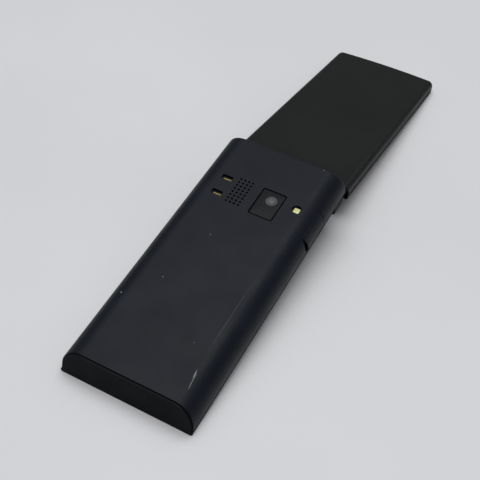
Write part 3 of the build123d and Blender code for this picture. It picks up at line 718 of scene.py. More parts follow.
def mesh_of(form: Form, pose: Matrix, smooth_degrees: float = 30.0) -> Mesh:
    """Turn a mesh in the closed phone's frame into a plain mesh in place.

    Args:
        form: The mesh under construction, in metres; it is freed.
        pose: The pose of its half of the phone.
        smooth_degrees: Edges flatter than this shade smooth.

    Returns:
        The plain mesh.
    """
    bmesh.ops.recalc_face_normals(form, faces=form.faces)
    form.transform(pose)
    return shaded(form, smooth_degrees)


def settled(piece: bpy.types.Object) -> Mesh:
    """Turn an object and its modifiers into one plain mesh.

    Args:
        piece: The object; it is removed.

    Returns:
        The plain mesh.
    """
    bpy.context.view_layer.update()
    depsgraph = bpy.context.evaluated_depsgraph_get()
    mesh = bpy.data.meshes.new_from_object(piece.evaluated_get(depsgraph))
    bpy.data.objects.remove(piece)
    return mesh


def welded_form(node: str) -> Form:
    """Start a mesh under construction from a CAD node, its faces joined to one skin.

    Args:
        node: The CAD node.

    Returns:
        The mesh under construction.
    """
    form = bmesh.new()
    form.from_mesh(frame["nodes"][node].data)
    bmesh.ops.remove_doubles(form, verts=form.verts, dist=WELD)
    return form


def welded_copy(node: str, edge_mm: float, smooth_degrees: float) -> Mesh:
    """Copy a CAD node as one closed skin that shades smoothly.

    Flat faces keep their own direction where they run into rounded ones, so that a
    highlight doesn't bend across them.

    Args:
        node: The CAD node.
        edge_mm: Width of the small rounding on its sharp edges, or 0 for none.
        smooth_degrees: Edges flatter than this shade smooth.

    Returns:
        The mesh, in place.
    """
    form = welded_form(node)
    bmesh.ops.dissolve_limit(
        form, angle_limit=math.radians(FLAT_DEGREES), verts=form.verts, edges=form.edges
    )
    copy = shown(node, shaded(form, smooth_degrees))
    if edge_mm > 0:
        rounding = copy.modifiers.new("rounding", "BEVEL")
        rounding.width = edge_mm * MM
        rounding.segments = 2
        rounding.limit_method = "ANGLE"
        rounding.angle_limit = math.radians(SHARP_DEGREES)
        rounding.use_clamp_overlap = True
    shading = copy.modifiers.new("shading", "WEIGHTED_NORMAL")
    shading.keep_sharp = True
    shading.weight = 100
    return settled(copy)


def body_name(node: str) -> str:
    """Name the CAD body that a node rides on."""
    carrier = frame["nodes"][node].parent
    return next(name for name, empty in frame["bodies"].items() if empty == carrier)


def reskin(
    material: Materials, slot: str, *nodes: str, edge_mm: float = 0.0, smooth_degrees: float = 25.0
) -> None:
    """Replace CAD nodes by welded, smoothly shaded copies in their real finish.

    Args:
        material: What they are made of.
        slot: The record's material slot; not used.
        *nodes: The CAD nodes.
        edge_mm: Width of the rounding on sharp edges, or 0 for none.
        smooth_degrees: Edges flatter than this shade smooth.
    """
    for node in nodes:
        mesh = welded_copy(node, edge_mm, smooth_degrees)
        piece_from(mesh, f"{node}_skin", body_name(node), material, (node,))


# Outlines and surfaces, in millimetres

def circle(radius: float, sides: int, centre: Pair = (0.0, 0.0)) -> Outline:
    """Draw a circle.

    Args:
        radius: Its radius.
        sides: Points round it.
        centre: Its middle.

    Returns:
        The outline.
    """
    turns = [2 * math.pi * side / sides for side in range(sides)]
    return [
        (centre[0] + radius * math.cos(turn), centre[1] + radius * math.sin(turn))
        for turn in turns
    ]


def turned(outline: Outline, angle: float) -> Outline:
    """Return an outline turned about the origin."""
    cos, sin = math.cos(angle), math.sin(angle)
    return [(x * cos - y * sin, x * sin + y * cos) for x, y in outline]


def rounded_outline(centre: Pair, size: Pair, corner: float, steps: int = 4) -> Outline:
    """Draw a rectangle with rounded corners.

    Args:
        centre: Its middle.
        size: Its width and length.
        corner: Radius of its corners.
        steps: Points per corner, less one.

    Returns:
        The outline.
    """
    outline = []
    reach = (size[0] / 2 - corner, size[1] / 2 - corner)
    for quarter, (side_x, side_y) in enumerate(((1, 1), (-1, 1), (-1, -1), (1, -1))):
        for step in range(steps + 1):
            angle = (quarter + step / steps) * math.pi / 2
            outline.append((
                centre[0] + side_x * reach[0] + corner * math.cos(angle),
                centre[1] + side_y * reach[1] + corner * math.sin(angle),
            ))
    return outline


def ring_at(form: Form, outline: Outline, height: float) -> Ring:
    """Add the corners of an outline at one height."""
    return [form.verts.new((x * MM, y * MM, height * MM)) for x, y in outline]


def sew(form: Form, rings: list[Ring]) -> None:
    """Join each ring to the next by faces; a ring of one corner is a point.

    Args:
        form: The mesh that gets the faces.
        rings: The rings in order.
    """
    for low, high in zip(rings, rings[1:]):
        count = max(len(low), len(high))
        for index in range(count):
            after = (index + 1) % count
            corners = [low[index % len(low)], low[after % len(low)]]
            corners += [high[after % len(high)], high[index % len(high)]]
            form.faces.new(dict.fromkeys(corners))


def fill_between(form: Form, outer: Ring, inner: Ring) -> None:
    """Fill the flat face between an outer ring and a ring inside it.

    Args:
        form: The mesh that gets the face.
        outer: The outer ring.
        inner: The inner ring.
    """
    edges = [
        form.edges.get((ring[index], ring[(index + 1) % len(ring)]))
        for ring in (outer, inner)
        for index in range(len(ring))
    ]
    bmesh.ops.triangle_fill(form, edges=edges, use_beauty=True)


def lathe(form: Form, centre: Pair, profile: Outline, sides: int = 48) -> None:
    """Turn a profile of radius and height about an upright axis.

    Args:
        form: The mesh that gets the surface.
        centre: Place of the axis across and along the phone.
        profile: Radius and height of each ring; a radius of 0 closes it to a point.
        sides: Facets round the axis.
    """
    sew(form, [
        ring_at(form, circle(radius, sides, centre) if radius else [centre], height)
        for radius, height in profile
    ])


def stacked(form: Form, layers: list[tuple[Outline, float]]) -> None:
    """Join outlines of equal point count at their heights, closed at both ends.

    Args:
        form: The mesh that gets the surface.
        layers: Outline and height of each layer.
    """
    rings = [ring_at(form, outline, height) for outline, height in layers]
    sew(form, rings)
    form.faces.new(rings[0])
    form.faces.new(rings[-1])


def band(form: Form, outer: Outline, inner: Outline, low: float, high: float) -> None:
    """Add a flat closed band between two outlines of equal point count.

    Args:
        form: The mesh that gets the band.
        outer: Outer outline.
        inner: Inner outline.
        low: Lower height.
        high: Upper height.
    """
    edges = ((outer, low), (outer, high), (inner, high), (inner, low))
    rings = [ring_at(form, outline, height) for outline, height in edges]
    sew(form, rings + rings[:1])


# Geometry Nodes

def open_tree(name: str, inputs: dict[str, str]) -> tuple[Tree, bpy.types.bpy_prop_collection]:
    """Start a Geometry Nodes tree with named inputs and one for the finish.

    Args:
        name: Name of the tree.
        inputs: Socket type of each input beside geometry and finish, by its name.

    Returns:
        The tree and the sockets that carry its inputs.
    """
    tree = bpy.data.node_groups.new(name, "GeometryNodeTree")
    for way in ("INPUT", "OUTPUT"):
        tree.interface.new_socket(name="Geometry", in_out=way, socket_type="NodeSocketGeometry")
    for label, kind in (inputs | {"Finish": "NodeSocketMaterial"}).items():
        tree.interface.new_socket(name=label, in_out="INPUT", socket_type=kind)
    return tree, add_node(tree, "NodeGroupInput").outputs


def close_tree(tree: Tree, geometry: Node, finish: Socket) -> None:
    """End a tree with real geometry in one material.

    Args:
        tree: The tree.
        geometry: What made the geometry.
        finish: The material.
    """
    real = add_node(tree, "GeometryNodeRealizeInstances", {"Geometry": geometry})
    dressed = add_node(tree, "GeometryNodeSetMaterial", {"Geometry": real, "Material": finish})
    add_node(tree, "NodeGroupOutput", {"Geometry": dressed})


def run_tree(tree: Tree, start: Mesh, values: dict[str, object]) -> Mesh:
    """Run a tree on a mesh and keep the result as a plain mesh.

    Args:
        tree: The Geometry Nodes tree.
        start: The mesh that it works on.
        values: Values of its inputs, by name.

    Returns:
        The plain mesh.
    """
    carrier = shown(tree.name, start)
    modifier = carrier.modifiers.new(tree.name, "NODES")
    modifier.node_group = tree
    for item in tree.interface.items_tree:
        if item.in_out == "INPUT" and item.name in values:
            modifier[item.identifier] = values[item.name]
    return settled(carrier)


@dataclass(frozen=True)
class Repeat:
    """Sets one small shape on every place of a list, each turned at random about itself."""

    turn: float = 0.0
    seed: int = 7

    def tree(self) -> Tree:
        """Build the tree, unless it is there already.

        Returns:
            The tree.
        """
        known = bpy.data.node_groups.get("set_on_places")
        if known is not None:
            return known
        tree, given = open_tree("set_on_places", {
            "Shape": "NodeSocketObject", "Turn": "NodeSocketFloat", "Seed": "NodeSocketInt",
        })
        shape = add_node(tree, "GeometryNodeObjectInfo", {"Object": given["Shape"]})
        chance = add_node(
            tree, "FunctionNodeRandomValue", {"Max": given["Turn"], "Seed": given["Seed"]},
            data_type="FLOAT",
        )
        spin = add_node(tree, "ShaderNodeCombineXYZ", {"Z": chance})
        placed = add_node(tree, "GeometryNodeInstanceOnPoints", {
            "Points": given["Geometry"], "Instance": shape.outputs["Geometry"], "Rotation": spin,
        })
        close_tree(tree, placed, given["Finish"])
        return tree

    def mesh(self, form: Form, places: list[Place], pose: Matrix, material: Materials) -> Mesh:
        """Make the repeated shape one plain mesh, in place.

        Args:
            form: The shape about its own origin, in metres; it is freed.
            places: Where it goes in the closed phone, in millimetres.
            pose: The pose of its half of the phone.
            material: What it is made of.

        Returns:
            The plain mesh.
        """
        single = shown("single", mesh_of(form, Matrix.Identity(4)))
        points = bpy.data.meshes.new("places")
        points.from_pydata([Vector(place) * MM for place in places], [], [])
        mesh = run_tree(self.tree(), points, {
            "Shape": single, "Turn": self.turn, "Seed": self.seed,
            "Finish": material.value.build(),
        })
        bpy.data.objects.remove(single)
        mesh.transform(pose)
        return mesh


@dataclass(frozen=True)
class Weave:
    """Plain woven cloth: threads that pass over and under each other.

    The real pitch is about 0.08 mm; it is drawn four times as coarse, so that it shows.
    """

    across: int
    along: int
    pitch: float = 0.32
    wave: float = 0.045
    thread_radius: float = 0.05
    thread_sides: int = 5

    def tree(self) -> Tree:
        """Build the tree, unless it is there already.

        Returns:
            The tree.
        """
        known = bpy.data.node_groups.get("plain_weave")
        if known is not None:
            return known
        counts = dict.fromkeys(("Across", "Along", "Thread Sides"), "NodeSocketInt")
        lengths = dict.fromkeys(("Pitch", "Wave", "Thread Radius"), "NodeSocketFloat")
        tree, given = open_tree("plain_weave", counts | lengths)
        number = add_node(tree, "ShaderNodeCombineXYZ", {"X": given["Across"], "Y": given["Along"]})
        height = self._height(tree, given, number)
        both = add_node(tree, "GeometryNodeJoinGeometry")
        for run in ((1.0, 0.0, 0.0), (0.0, 1.0, 0.0)):
            threads = self._threads(tree, given, number, height, run)
            tree.links.new(threads.outputs[0], both.inputs[0])
        close_tree(tree, both, given["Finish"])
        return tree

    def _height(self, tree: Tree, given: bpy.types.bpy_prop_collection, number: Node) -> Node:
        """Build the wave: up at one crossing and down at the next, both ways.

        Args:
            tree: The tree.
            given: Its inputs.
            number: Threads across and along, as a vector.

        Returns:
            The height of the threads that run lengthwise.
        """
        quarter = (math.pi / 2, math.pi / 2, 0.0)
        place = add_node(tree, "GeometryNodeInputPosition")
        rate = add_node(
            tree, "ShaderNodeMath", {1: given["Pitch"]}, {0: math.pi}, operation="DIVIDE"
        )
        phase = add_node(
            tree, "ShaderNodeVectorMath", {0: place, "Scale": rate}, operation="SCALE"
        )
        phase = add_node(
            tree, "ShaderNodeVectorMath", {0: number, 2: phase}, {1: quarter},
            operation="MULTIPLY_ADD",
        )
        phase = add_node(
            tree, "ShaderNodeVectorMath", {0: phase}, {1: quarter}, operation="SUBTRACT"
        )
        swing = add_node(tree, "ShaderNodeVectorMath", {0: phase}, operation="COSINE")
        parts = add_node(tree, "ShaderNodeSeparateXYZ", {"Vector": swing}).outputs
        product = add_node(
            tree, "ShaderNodeMath", {0: parts["X"], 1: parts["Y"]}, operation="MULTIPLY"
        )
        return add_node(
            tree, "ShaderNodeMath", {0: product, 1: given["Wave"]}, operation="MULTIPLY"
        )

    def _threads(
        self,
        tree: Tree,
        given: bpy.types.bpy_prop_collection,
        number: Node,
        height: Node,
        run: Place,
    ) -> Node:
        """Lay one set of parallel threads that wave up and down.

        Args:
            tree: The tree.
            given: Its inputs.
            number: Threads across and along, as a vector.
            height: The wave.
            run: Direction of the threads, along X or along Y.

        Returns:
            The node that makes the threads, as tubes.
        """
        side = (run[1], run[0], 0.0)
        beside, lengthwise = ("Along", "Across") if run[0] else ("Across", "Along")
        back = add_node(
            tree, "ShaderNodeMath", {0: given["Pitch"]}, {1: -0.5}, operation="MULTIPLY"
        )
        fewer = add_node(
            tree, "ShaderNodeVectorMath", {0: number}, {1: (1.0, 1.0, 0.0)}, operation="SUBTRACT"
        )
        ends = []
        for total, way in ((fewer, side), (number, run)):
            corner = add_node(
                tree, "ShaderNodeVectorMath", {0: total, "Scale": back}, operation="SCALE"
            )
            ends.append(add_node(
                tree, "ShaderNodeVectorMath", {0: corner}, {1: way}, operation="MULTIPLY"
            ))
        stride = add_node(
            tree, "ShaderNodeVectorMath", {"Scale": given["Pitch"]}, {0: side}, operation="SCALE"
        )
        row = add_node(tree, "GeometryNodeMeshLine", {
            "Count": given[beside], "Start Location": ends[0], "Offset": stride,
        })
        far = add_node(
            tree, "ShaderNodeVectorMath", {0: ends[1]}, {"Scale": -1.0}, operation="SCALE"
        )
        line = add_node(tree, "GeometryNodeCurvePrimitiveLine", {"Start": ends[1], "End": far})
        steps = add_node(
            tree, "ShaderNodeMath", {0: given[lengthwise]}, {1: 2.0, 2: 1.0},
            operation="MULTIPLY_ADD",
        )
        fine = add_node(tree, "GeometryNodeResampleCurve", {"Curve": line, "Count": steps})
        spread = add_node(tree, "GeometryNodeInstanceOnPoints", {"Points": row, "Instance": fine})
        real = add_node(tree, "GeometryNodeRealizeInstances", {"Geometry": spread})
        lift = add_node(
            tree, "ShaderNodeVectorMath", {"Scale": height}, {0: (0.0, 0.0, run[1] - run[0])},
            operation="SCALE",
        )
        waved = add_node(tree, "GeometryNodeSetPosition", {"Geometry": real, "Offset": lift})
        profile = add_node(tree, "GeometryNodeCurvePrimitiveCircle", {
            "Resolution": given["Thread Sides"], "Radius": given["Thread Radius"],
        })
        return add_node(
            tree, "GeometryNodeCurveToMesh", {"Curve": waved, "Profile Curve": profile},
            {"Fill Caps": True},
        )

    def mesh(self, centre: Place, pose: Matrix, material: Materials) -> Mesh:
        """Weave the cloth and put it in place.

        Args:
            centre: Its middle in the closed phone, in millimetres.
            pose: The pose of its half of the phone.
            material: What it is made of.

        Returns:
            The plain mesh.
        """
        mesh = run_tree(self.tree(), bpy.data.meshes.new("cloth"), {
            "Across": self.across,
            "Along": self.along,
            "Pitch": self.pitch * MM,
            "Wave": self.wave * MM,
            "Thread Radius": self.thread_radius * MM,
            "Thread Sides": self.thread_sides,
            "Finish": material.value.build(),
        })
        mesh.shade_smooth()
        mesh.transform(pose @ Matrix.Translation(Vector(centre) * MM))
        return mesh


# The keypad half

@dataclass
class KeypadHalf:
    """Outer shells of the keypad half: rear cover, front case and socket cover."""

    edge_mm: float = 0.12
    smooth_degrees: float = 22.0

    def build(self) -> None:
        """Build the outer shells."""
        look = {"edge_mm": self.edge_mm, "smooth_degrees": self.smooth_degrees}
        reskin(Materials.REAR_PAINT, "soft_touch_back", "rear_cover", **look)
        reskin(Materials.CASE_ABS, "case_black", "front_case", **look)
        reskin(Materials.REAR_PAINT, "soft_touch_back", "port_cover", edge_mm=self.edge_mm)


@dataclass
class CameraWindow:
    """Camera window: tinted plate, grey printed lens glass and the coated element."""

    clear_radius: float = 1.1
    ring_width: float = 0.3
    ring_sink: float = 0.06
    edge_inset: float = 0.1
    edge_rounding: float = 0.18
    edge_steps: int = 4
    corner: float = 0.6
    corner_steps: int = 5
    lens_room: float = 0.03
    lens_chamfer: float = 0.06
    lens_foot: float = 0.04
    step: Pair = (0.04, 0.03)  # run and drop of the printed ring's inner edge
    groove: float = 0.33
    groove_depth: float = 0.45
    shade_band_corners: Pair = (0.9, 0.5)
    dome_rise: float = 0.08
    dome_gap: float = 0.05
    dome_steps: int = 6
    dome_foot: Pair = (0.002, 0.005)  # heights of its foot in the middle and at the edge

    def build(self) -> None:
        """Build the plate, the near-black band of painted shade in its groove, and the lens."""
        box = closed_box("camera_window", base_pose)
        self.plate(box)
        self.shade_band(box)
        self.lens()

    def edge(self, box: Box, growth: float, corner: float) -> Outline:
        """Return the plate's outline, grown by a width on each side."""
        size = (box.size.x + 2 * growth, box.size.y + 2 * growth)
        return rounded_outline(box.middle.xy, size, corner, self.corner_steps)

    def plate(self, box: Box) -> None:
        """Build the tinted plate: a rounded edge outside, a seat for the lens inside.

        Args:
            box: Room of the plate.
        """
        hole = closed_box("camera_lens", base_pose)
        levels = [(self.edge_inset, box.low.z)]
        for step in range(self.edge_steps + 1):
            angle = step * math.pi / (2 * self.edge_steps)
            levels.append((
                self.edge_inset + self.edge_rounding * (1 - math.cos(angle)),
                box.high.z - self.edge_rounding * (1 - math.sin(angle)),
            ))
        form = bmesh.new()
        rings = [
            ring_at(form, self.edge(box, -inset, self.corner - inset), height)
            for inset, height in levels
        ]
        wall = circle(hole.size.x / 2 + self.lens_room, len(rings[0]), hole.middle.xy)
        seat = [ring_at(form, wall, height) for height in (box.high.z, hole.low.z - CLEAR)]
        sew(form, rings)
        sew(form, seat)
        form.faces.new(rings[0])
        form.faces.new(seat[1])
        fill_between(form, rings[-1], seat[0])
        piece_from(
            mesh_of(form, base_pose), "window_plate", "rear_cover", Materials.WINDOW_ACRYLIC,
            ("camera_window",),
        )

    def shade_band(self, box: Box) -> None:
        """Build the near-black band at the bottom of the groove round the plate: painted shade of
        the groove.

        Args:
            box: Room of the plate.
        """
        form = bmesh.new()
        wide = self.edge(box, self.groove, self.shade_band_corners[0])
        narrow = self.edge(box, -self.edge_inset - CLEAR / 2, self.shade_band_corners[1])
        # Painted shade: a near-black band that darkens the groove's floor.
        band(form, wide, narrow, box.low.z + CLEAR, box.high.z - self.groove_depth)
        piece_from(mesh_of(form, base_pose), "window_gasket", "rear_cover", Materials.GASKET)

    def lens(self) -> None:
        """Build the lens glass with a stepped ring and a domed element in the middle."""
        box = closed_box("camera_lens", base_pose)
        centre, radius = box.middle.xy, box.size.x / 2
        bottom, top = box.low.z, box.high.z
        floor = top - self.ring_sink
        ring = self.clear_radius + self.ring_width
        form = bmesh.new()
        lathe(form, centre, [
            (0, bottom), (radius - CLEAR, bottom), (radius, bottom + self.lens_foot),
            (radius, floor), (radius - self.lens_chamfer, top), (ring, top),
            (ring - self.step[0], top - self.step[1]), (self.clear_radius, floor), (0, floor),
        ])
        piece_from(
            mesh_of(form, base_pose), "lens_glass", "rear_cover", Materials.LENS_GLASS,
            ("camera_lens",),
        )
        rim, (inner, outer) = self.clear_radius - self.dome_gap, self.dome_foot
        turns = [step * math.pi / (2 * self.dome_steps) for step in range(1, self.dome_steps)]
        dome = bmesh.new()
        lathe(dome, centre, [
            (0, floor + inner), (self.clear_radius - CLEAR, floor + outer),
            *((rim * math.cos(turn), floor + self.dome_rise * math.sin(turn)) for turn in turns),
            (0, floor + self.dome_rise + outer),
        ])
        piece_from(
            mesh_of(dome, base_pose, smooth_degrees=50), "lens_element", "rear_cover",
            Materials.LENS_COATING,
        )


@dataclass
class Light:
    """Small photo light: black cup with a yellow emitter block on its floor."""

    emitter_side: float = 2.3
    emitter_rise: float = 0.3
    emitter_height: float = 0.8
    emitter_corner: float = 0.35
    emitter_edge: float = 0.04
    wall: float = 0.22
    cup_depth: float = 0.45
    floor_radius: float = 1.4
    floor_edge: Pair = (0.05, 0.1)

    def build(self) -> None:
        """Build the cup and the emitter."""
        box = closed_box("light_led", base_pose)
        radius, bottom, top = box.size.x / 2, box.low.z, box.high.z
        floor = top - self.cup_depth
        cup = bmesh.new()
        lathe(cup, box.middle.xy, [
            (0, bottom), (radius, bottom), (radius, top), (radius - self.wall, top),
            (self.floor_radius + self.floor_edge[0], floor + self.floor_edge[1]),
            (self.floor_radius, floor), (0, floor),
        ])
        piece_from(
            mesh_of(cup, base_pose), "light_cup", "base", Materials.REFLECTOR,
            ("light_led",),
        )
        block = bmesh.new()
        bmesh.ops.create_cube(block, size=1.0)
        size = Vector((self.emitter_side, self.emitter_side, self.emitter_height)) * MM
        bmesh.ops.scale(block, vec=size, verts=block.verts)
        height = top + self.emitter_rise - self.emitter_height / 2
        place = Vector((*box.middle.xy, height)) * MM
        bmesh.ops.translate(block, vec=place, verts=block.verts)
        upright = [edge for edge in block.edges if edge.verts[0].co.z != edge.verts[1].co.z]
        for edges, width, segments in (
            (upright, self.emitter_corner, 4), (block.edges, self.emitter_edge, 2),
        ):
            bmesh.ops.bevel(
                block, geom=edges, offset=width * MM, segments=segments, affect="EDGES",
                profile=0.5,
            )
        piece_from(
            mesh_of(block, base_pose), "light_emitter", "base", Materials.PHOSPHOR
        )


@dataclass
class LidShells:
    """Back shell and front frame of the lid."""

    smooth_degrees: float = 22.0

    def build(self) -> None:
        """Build the two shells."""
        for material, slot, node in (
            (Materials.LID_PAINT, "lid_paint", "lid_back"),
            (Materials.FRAME_PAINT, "frame_black", "lid_frame"),
        ):
            reskin(material, slot, node, smooth_degrees=self.smooth_degrees)


@dataclass
class Inside:
    """Pieces that show when the cover is off or the phone is turned over."""

    groups: tuple[tuple[Materials, str, tuple[str, ...]], ...] = (
        (Materials.INNER_NYLON, "inner_plastic", (
            "inner_case", "camera_module", "speaker", "antenna", "display_holder", "earpiece",
        )),
        (Materials.STEEL, "sheet_steel", (
            "shield_cans", "sim_holder", "usb_socket", "microphone", "motor_can", "motor_weight",
            "hinge_unit", "hinge_pin", "hinge_shaft", "lid_magnet",
        )),
        (Materials.SILICONE, "rubber_grey", ("key_mat", "lid_bumpers")),
        (Materials.FILM, "sheet_film", ("dome_sheet", "base_flex", "lid_flex")),
        (Materials.BOARD, "board_green", ("main_board",)),
        (Materials.BATTERY_FILM, "battery_wrap", ("battery",)),
        (Materials.GOLD, "gold_contact", ("charging_contacts",)),
        (Materials.DISPLAY, "panel_glass", ("display_window", "display_panel")),
    )

    def build(self) -> None:
        """Give each carried-over node its finish."""
        for material, slot, nodes in self.groups:
            reskin(material, slot, *nodes)


@dataclass
class Fittings:
    """Small parts under the rear cover: contact pads, speaker cone and camera element."""

    pad: Pair = (2.2, 1.3)
    pad_rise: float = 0.06
    pad_corner: float = 0.3
    battery_pads: tuple[float, ...] = (-3.6, 0.0, 3.6)
    battery_pad_inset: float = 2.4
    sim_pads: tuple[int, int] = (3, 2)
    sim_step: Pair = (2.54, 7.0)
    strip: Pair = (2.4, 0.3)
    strip_rise: float = 0.05
    strip_corner: float = 0.1
    socket_strips: int = 5
    socket_step: float = 0.65
    tongue_half: float = 0.29
    cone_margin: float = 0.7
    cone_corner: float = 3.0
    # Inset and rise of the cone from its frame in: surround, groove, cone, dust cap.
    cone_profile: Outline = field(default_factory=lambda: [
        (0.0, -0.02), (0.0, 0.03), (0.25, 0.13), (0.6, 0.16), (0.95, 0.12), (1.2, 0.02),
        (1.35, 0.02), (2.6, 0.03), (2.7, 0.1), (3.0, 0.15), (3.3, 0.17),
    ])

    def build(self) -> None:
        """Build the small parts."""
        self.pads()
        self.socket_contacts()
        self.speaker_cone()
        self.camera_element()

    def gold(self, name: str, form: Form, places: list[Place]) -> None:
        """Set gold-plated contacts on their places in the closed phone."""
        mesh = Repeat().mesh(form, places, base_pose, Materials.GOLD)
        piece_from(mesh, name, "base", Materials.GOLD)

    def block(self, size: Pair, height: float, corner: float) -> Form:
        """Build a flat block with rounded corners and a broken top edge, its foot at 0.

        Args:
            size: Its width and length.
            height: Its height.
            corner: Radius of its corners.

        Returns:
            The block.
        """
        form = bmesh.new()
        wide = rounded_outline((0, 0), size, corner, steps=2)
        small = (size[0] - height, size[1] - height)
        top = rounded_outline((0, 0), small, corner - height / 2, steps=2)
        stacked(form, [(wide, 0.0), (wide, height / 2), (top, height)])
        return form

    def pads(self) -> None:
        """Set gold pads on the battery's end and on the card holder."""
        battery, holder = (closed_box(node, base_pose) for node in ("battery", "sim_holder"))
        along = battery.high.y - self.battery_pad_inset
        places = [(across, along, battery.high.z - CLEAR / 2) for across in self.battery_pads]
        columns, rows = self.sim_pads
        for column in range(columns):
            for row in range(rows):
                across = holder.middle.x + (column - (columns - 1) / 2) * self.sim_step[0]
                along = holder.middle.y + (row - (rows - 1) / 2) * self.sim_step[1]
                places.append((across, along, holder.high.z - CLEAR / 2))
        self.gold("contact_pads", self.block(self.pad, self.pad_rise, self.pad_corner), places)

    def socket_contacts(self) -> None:
        """Lay gold strips on the tongue of the charging socket."""
        box = closed_box("usb_socket", base_pose)
        first = box.middle.y - (self.socket_strips - 1) / 2 * self.socket_step
        places = [
            (box.high.x - self.strip[0], first + index * self.socket_step,
             box.middle.z + self.tongue_half)
            for index in range(self.socket_strips)
        ]
        strip = self.block(self.strip, self.strip_rise, self.strip_corner)
        self.gold("socket_contacts", strip, places)

    def speaker_cone(self) -> None:
        """Build the speaker's cone with its rolled surround and dust cap."""
        box = closed_box("speaker", base_pose)
        layers = []
        for inset, rise in self.cone_profile:
            less = 2 * (self.cone_margin + inset)
            size = (box.size.x - less, box.size.y - less)
            corner = min(self.cone_corner, size[0] / 2 - CLEAR / 2)
            outline = rounded_outline(box.middle.xy, size, corner, steps=6)
            layers.append((outline, box.high.z + rise))
        form = bmesh.new()
        stacked(form, layers)
        mesh = mesh_of(form, base_pose, smooth_degrees=40)
        piece_from(mesh, "speaker_cone", "base", Materials.CONE_FILM)

    def camera_element(self) -> None:
        """Build the camera module's stepped barrel front and its coated glass."""
        box = closed_box("camera_module", base_pose)
        # Each profile gives radius and rise over the module's face.
        for name, material, slot, smooth, profile in (
            ("camera_barrel", Materials.INNER_NYLON, "inner_plastic", 30, (
                (0, -0.02), (2.7, -0.02), (2.7, 0.06), (2.6, 0.1), (1.9, 0.1), (1.5, 0.04),
                (0, 0.04),
            )),
            ("camera_glass", Materials.LENS_COATING, "lens_grey", 60, (
                (0, 0.041), (1.45, 0.045), (1.1, 0.09), (0.6, 0.12), (0, 0.13),
            )),
        ):
            form = bmesh.new()
            raised = [(radius, box.high.z + rise) for radius, rise in profile]
            lathe(form, box.middle.xy, raised)
            piece_from(mesh_of(form, base_pose, smooth), name, "base", material)


@dataclass
class SoundCloth:
    """Woven cloth behind the speaker holes and behind the earpiece slot."""

    speaker: Weave = Weave(across=23, along=45)
    earpiece: Weave = Weave(across=30, along=6)
    earpiece_rise: float = 0.12

    def build(self) -> None:
        """Weave both pieces."""
        cloth = Materials.CLOTH
        centre = closed_box("speaker_mesh", base_pose).middle
        mesh = self.speaker.mesh(centre, base_pose, cloth)
        piece_from(
            mesh, "speaker_cloth", "rear_cover", cloth, ("speaker_mesh",)
        )
        box = closed_box("earpiece", lid_pose)
        mesh = self.earpiece.mesh(
            (*box.middle.xy, box.high.z + self.earpiece_rise), lid_pose, cloth
        )
        piece_from(mesh, "earpiece_cloth", "lid", cloth)


@dataclass(frozen=True)
class Screw:
    """Pan-head screw with a cross recess, head up, its seat at height 0."""

    head_radius: float
    head_height: float
    shank_radius: float
    shank_length: float
    arm: float = 0.62
    arm_half: float = 0.16
    recess: float = 0.45
    taper: float = 0.55
    sides: int = 32
    dome: tuple[Pair, ...] = ((1.0, 0.55), (0.93, 0.85), (0.75, 1.0))

    def cross(self, share: float) -> Outline:
        """Draw the recess.

        Args:
            share: Its size, as a share of that at the top.

        Returns:
            The outline.
        """
        long, half = self.arm * self.head_radius * share, self.arm_half * self.head_radius * share
        arm = [(long, -half), (long, half), (half, half)]
        return [corner for turn in range(4) for corner in turned(arm, turn * math.pi / 2)]

    def form(self) -> Form:
        """Build the screw about its own axis.

        Returns:
            The mesh under construction, in metres.
        """
        form = bmesh.new()
        head, top = self.head_radius, self.head_height
        rings = [
            ring_at(form, circle(radius, self.sides), height)
            for radius, height in (
                (self.shank_radius, -self.shank_length), (self.shank_radius, 0.0), (head, 0.0),
                *((head * across, top * up) for across, up in self.dome),
            )
        ]
        recess = [
            ring_at(form, self.cross(share), height)
            for share, height in ((1.0, top), (self.taper, top - self.recess))
        ]
        sew(form, rings)
        sew(form, recess)
        form.faces.new(rings[0])
        form.faces.new(recess[1])
        fill_between(form, rings[-1], recess[0])
        return form


@dataclass
class Screws:
    """Screws of both halves, each turned as the screwdriver left it."""

    case: Screw = Screw(1.3, 0.8, 0.65, 3.5)
    lid: Screw = Screw(1.5, 0.7, 0.7, 3.3)

    def build(self) -> None:
        """Build the screws of both halves."""
        steel = Materials.STEEL
        for node, screw, pose, body in (
            ("case_screws", self.case, base_pose, "base"),
            ("lid_screws", self.lid, lid_pose, "lid"),
        ):
            seats = self.seats(node, pose, screw)
            mesh = Repeat(turn=math.pi).mesh(screw.form(), seats, pose, steel)
            piece_from(mesh, f"{node}_crossed", body, steel, (node,))

    def seats(self, node: str, pose: Matrix, screw: Screw) -> list[Place]:
        """Find the seat of each head from the CAD node.

        Args:
            node: The CAD node of the screws.
            pose: The pose of its half of the phone.
            screw: The screw.

        Returns:
            The places, in millimetres in the closed phone.
        """
        form = welded_form(node)
        places = []
        waiting = set(form.verts)
        while waiting:
            island, front = [], [waiting.pop()]
            while front:
                vertex = front.pop()
                island.append(vertex)
                near = {edge.other_vert(vertex) for edge in vertex.link_edges} & waiting
                waiting -= near
                front.extend(near)
            box = box_round(island, pose)
            seat = (*box.middle.xy, box.high.z - screw.head_height)
            places.append(tuple(round(length, 3) for length in seat))
        form.free()
        return sorted(places)


def handset() -> Outline:
    """Draw a telephone handset that lies on its back, by arcs about a centre below it.

    Returns:
        The outline.
    """
    below = 2.2
    arcs = (
        (3.3, range(30, 151, 10)), (1.9, (150, 122)), (2.5, range(122, 57, -8)), (1.9, (58, 30)),
    )
    turns = [(radius, math.radians(degrees)) for radius, arc in arcs for degrees in arc]
    return [(radius * math.cos(turn), radius * math.sin(turn) - below) for radius, turn in turns]


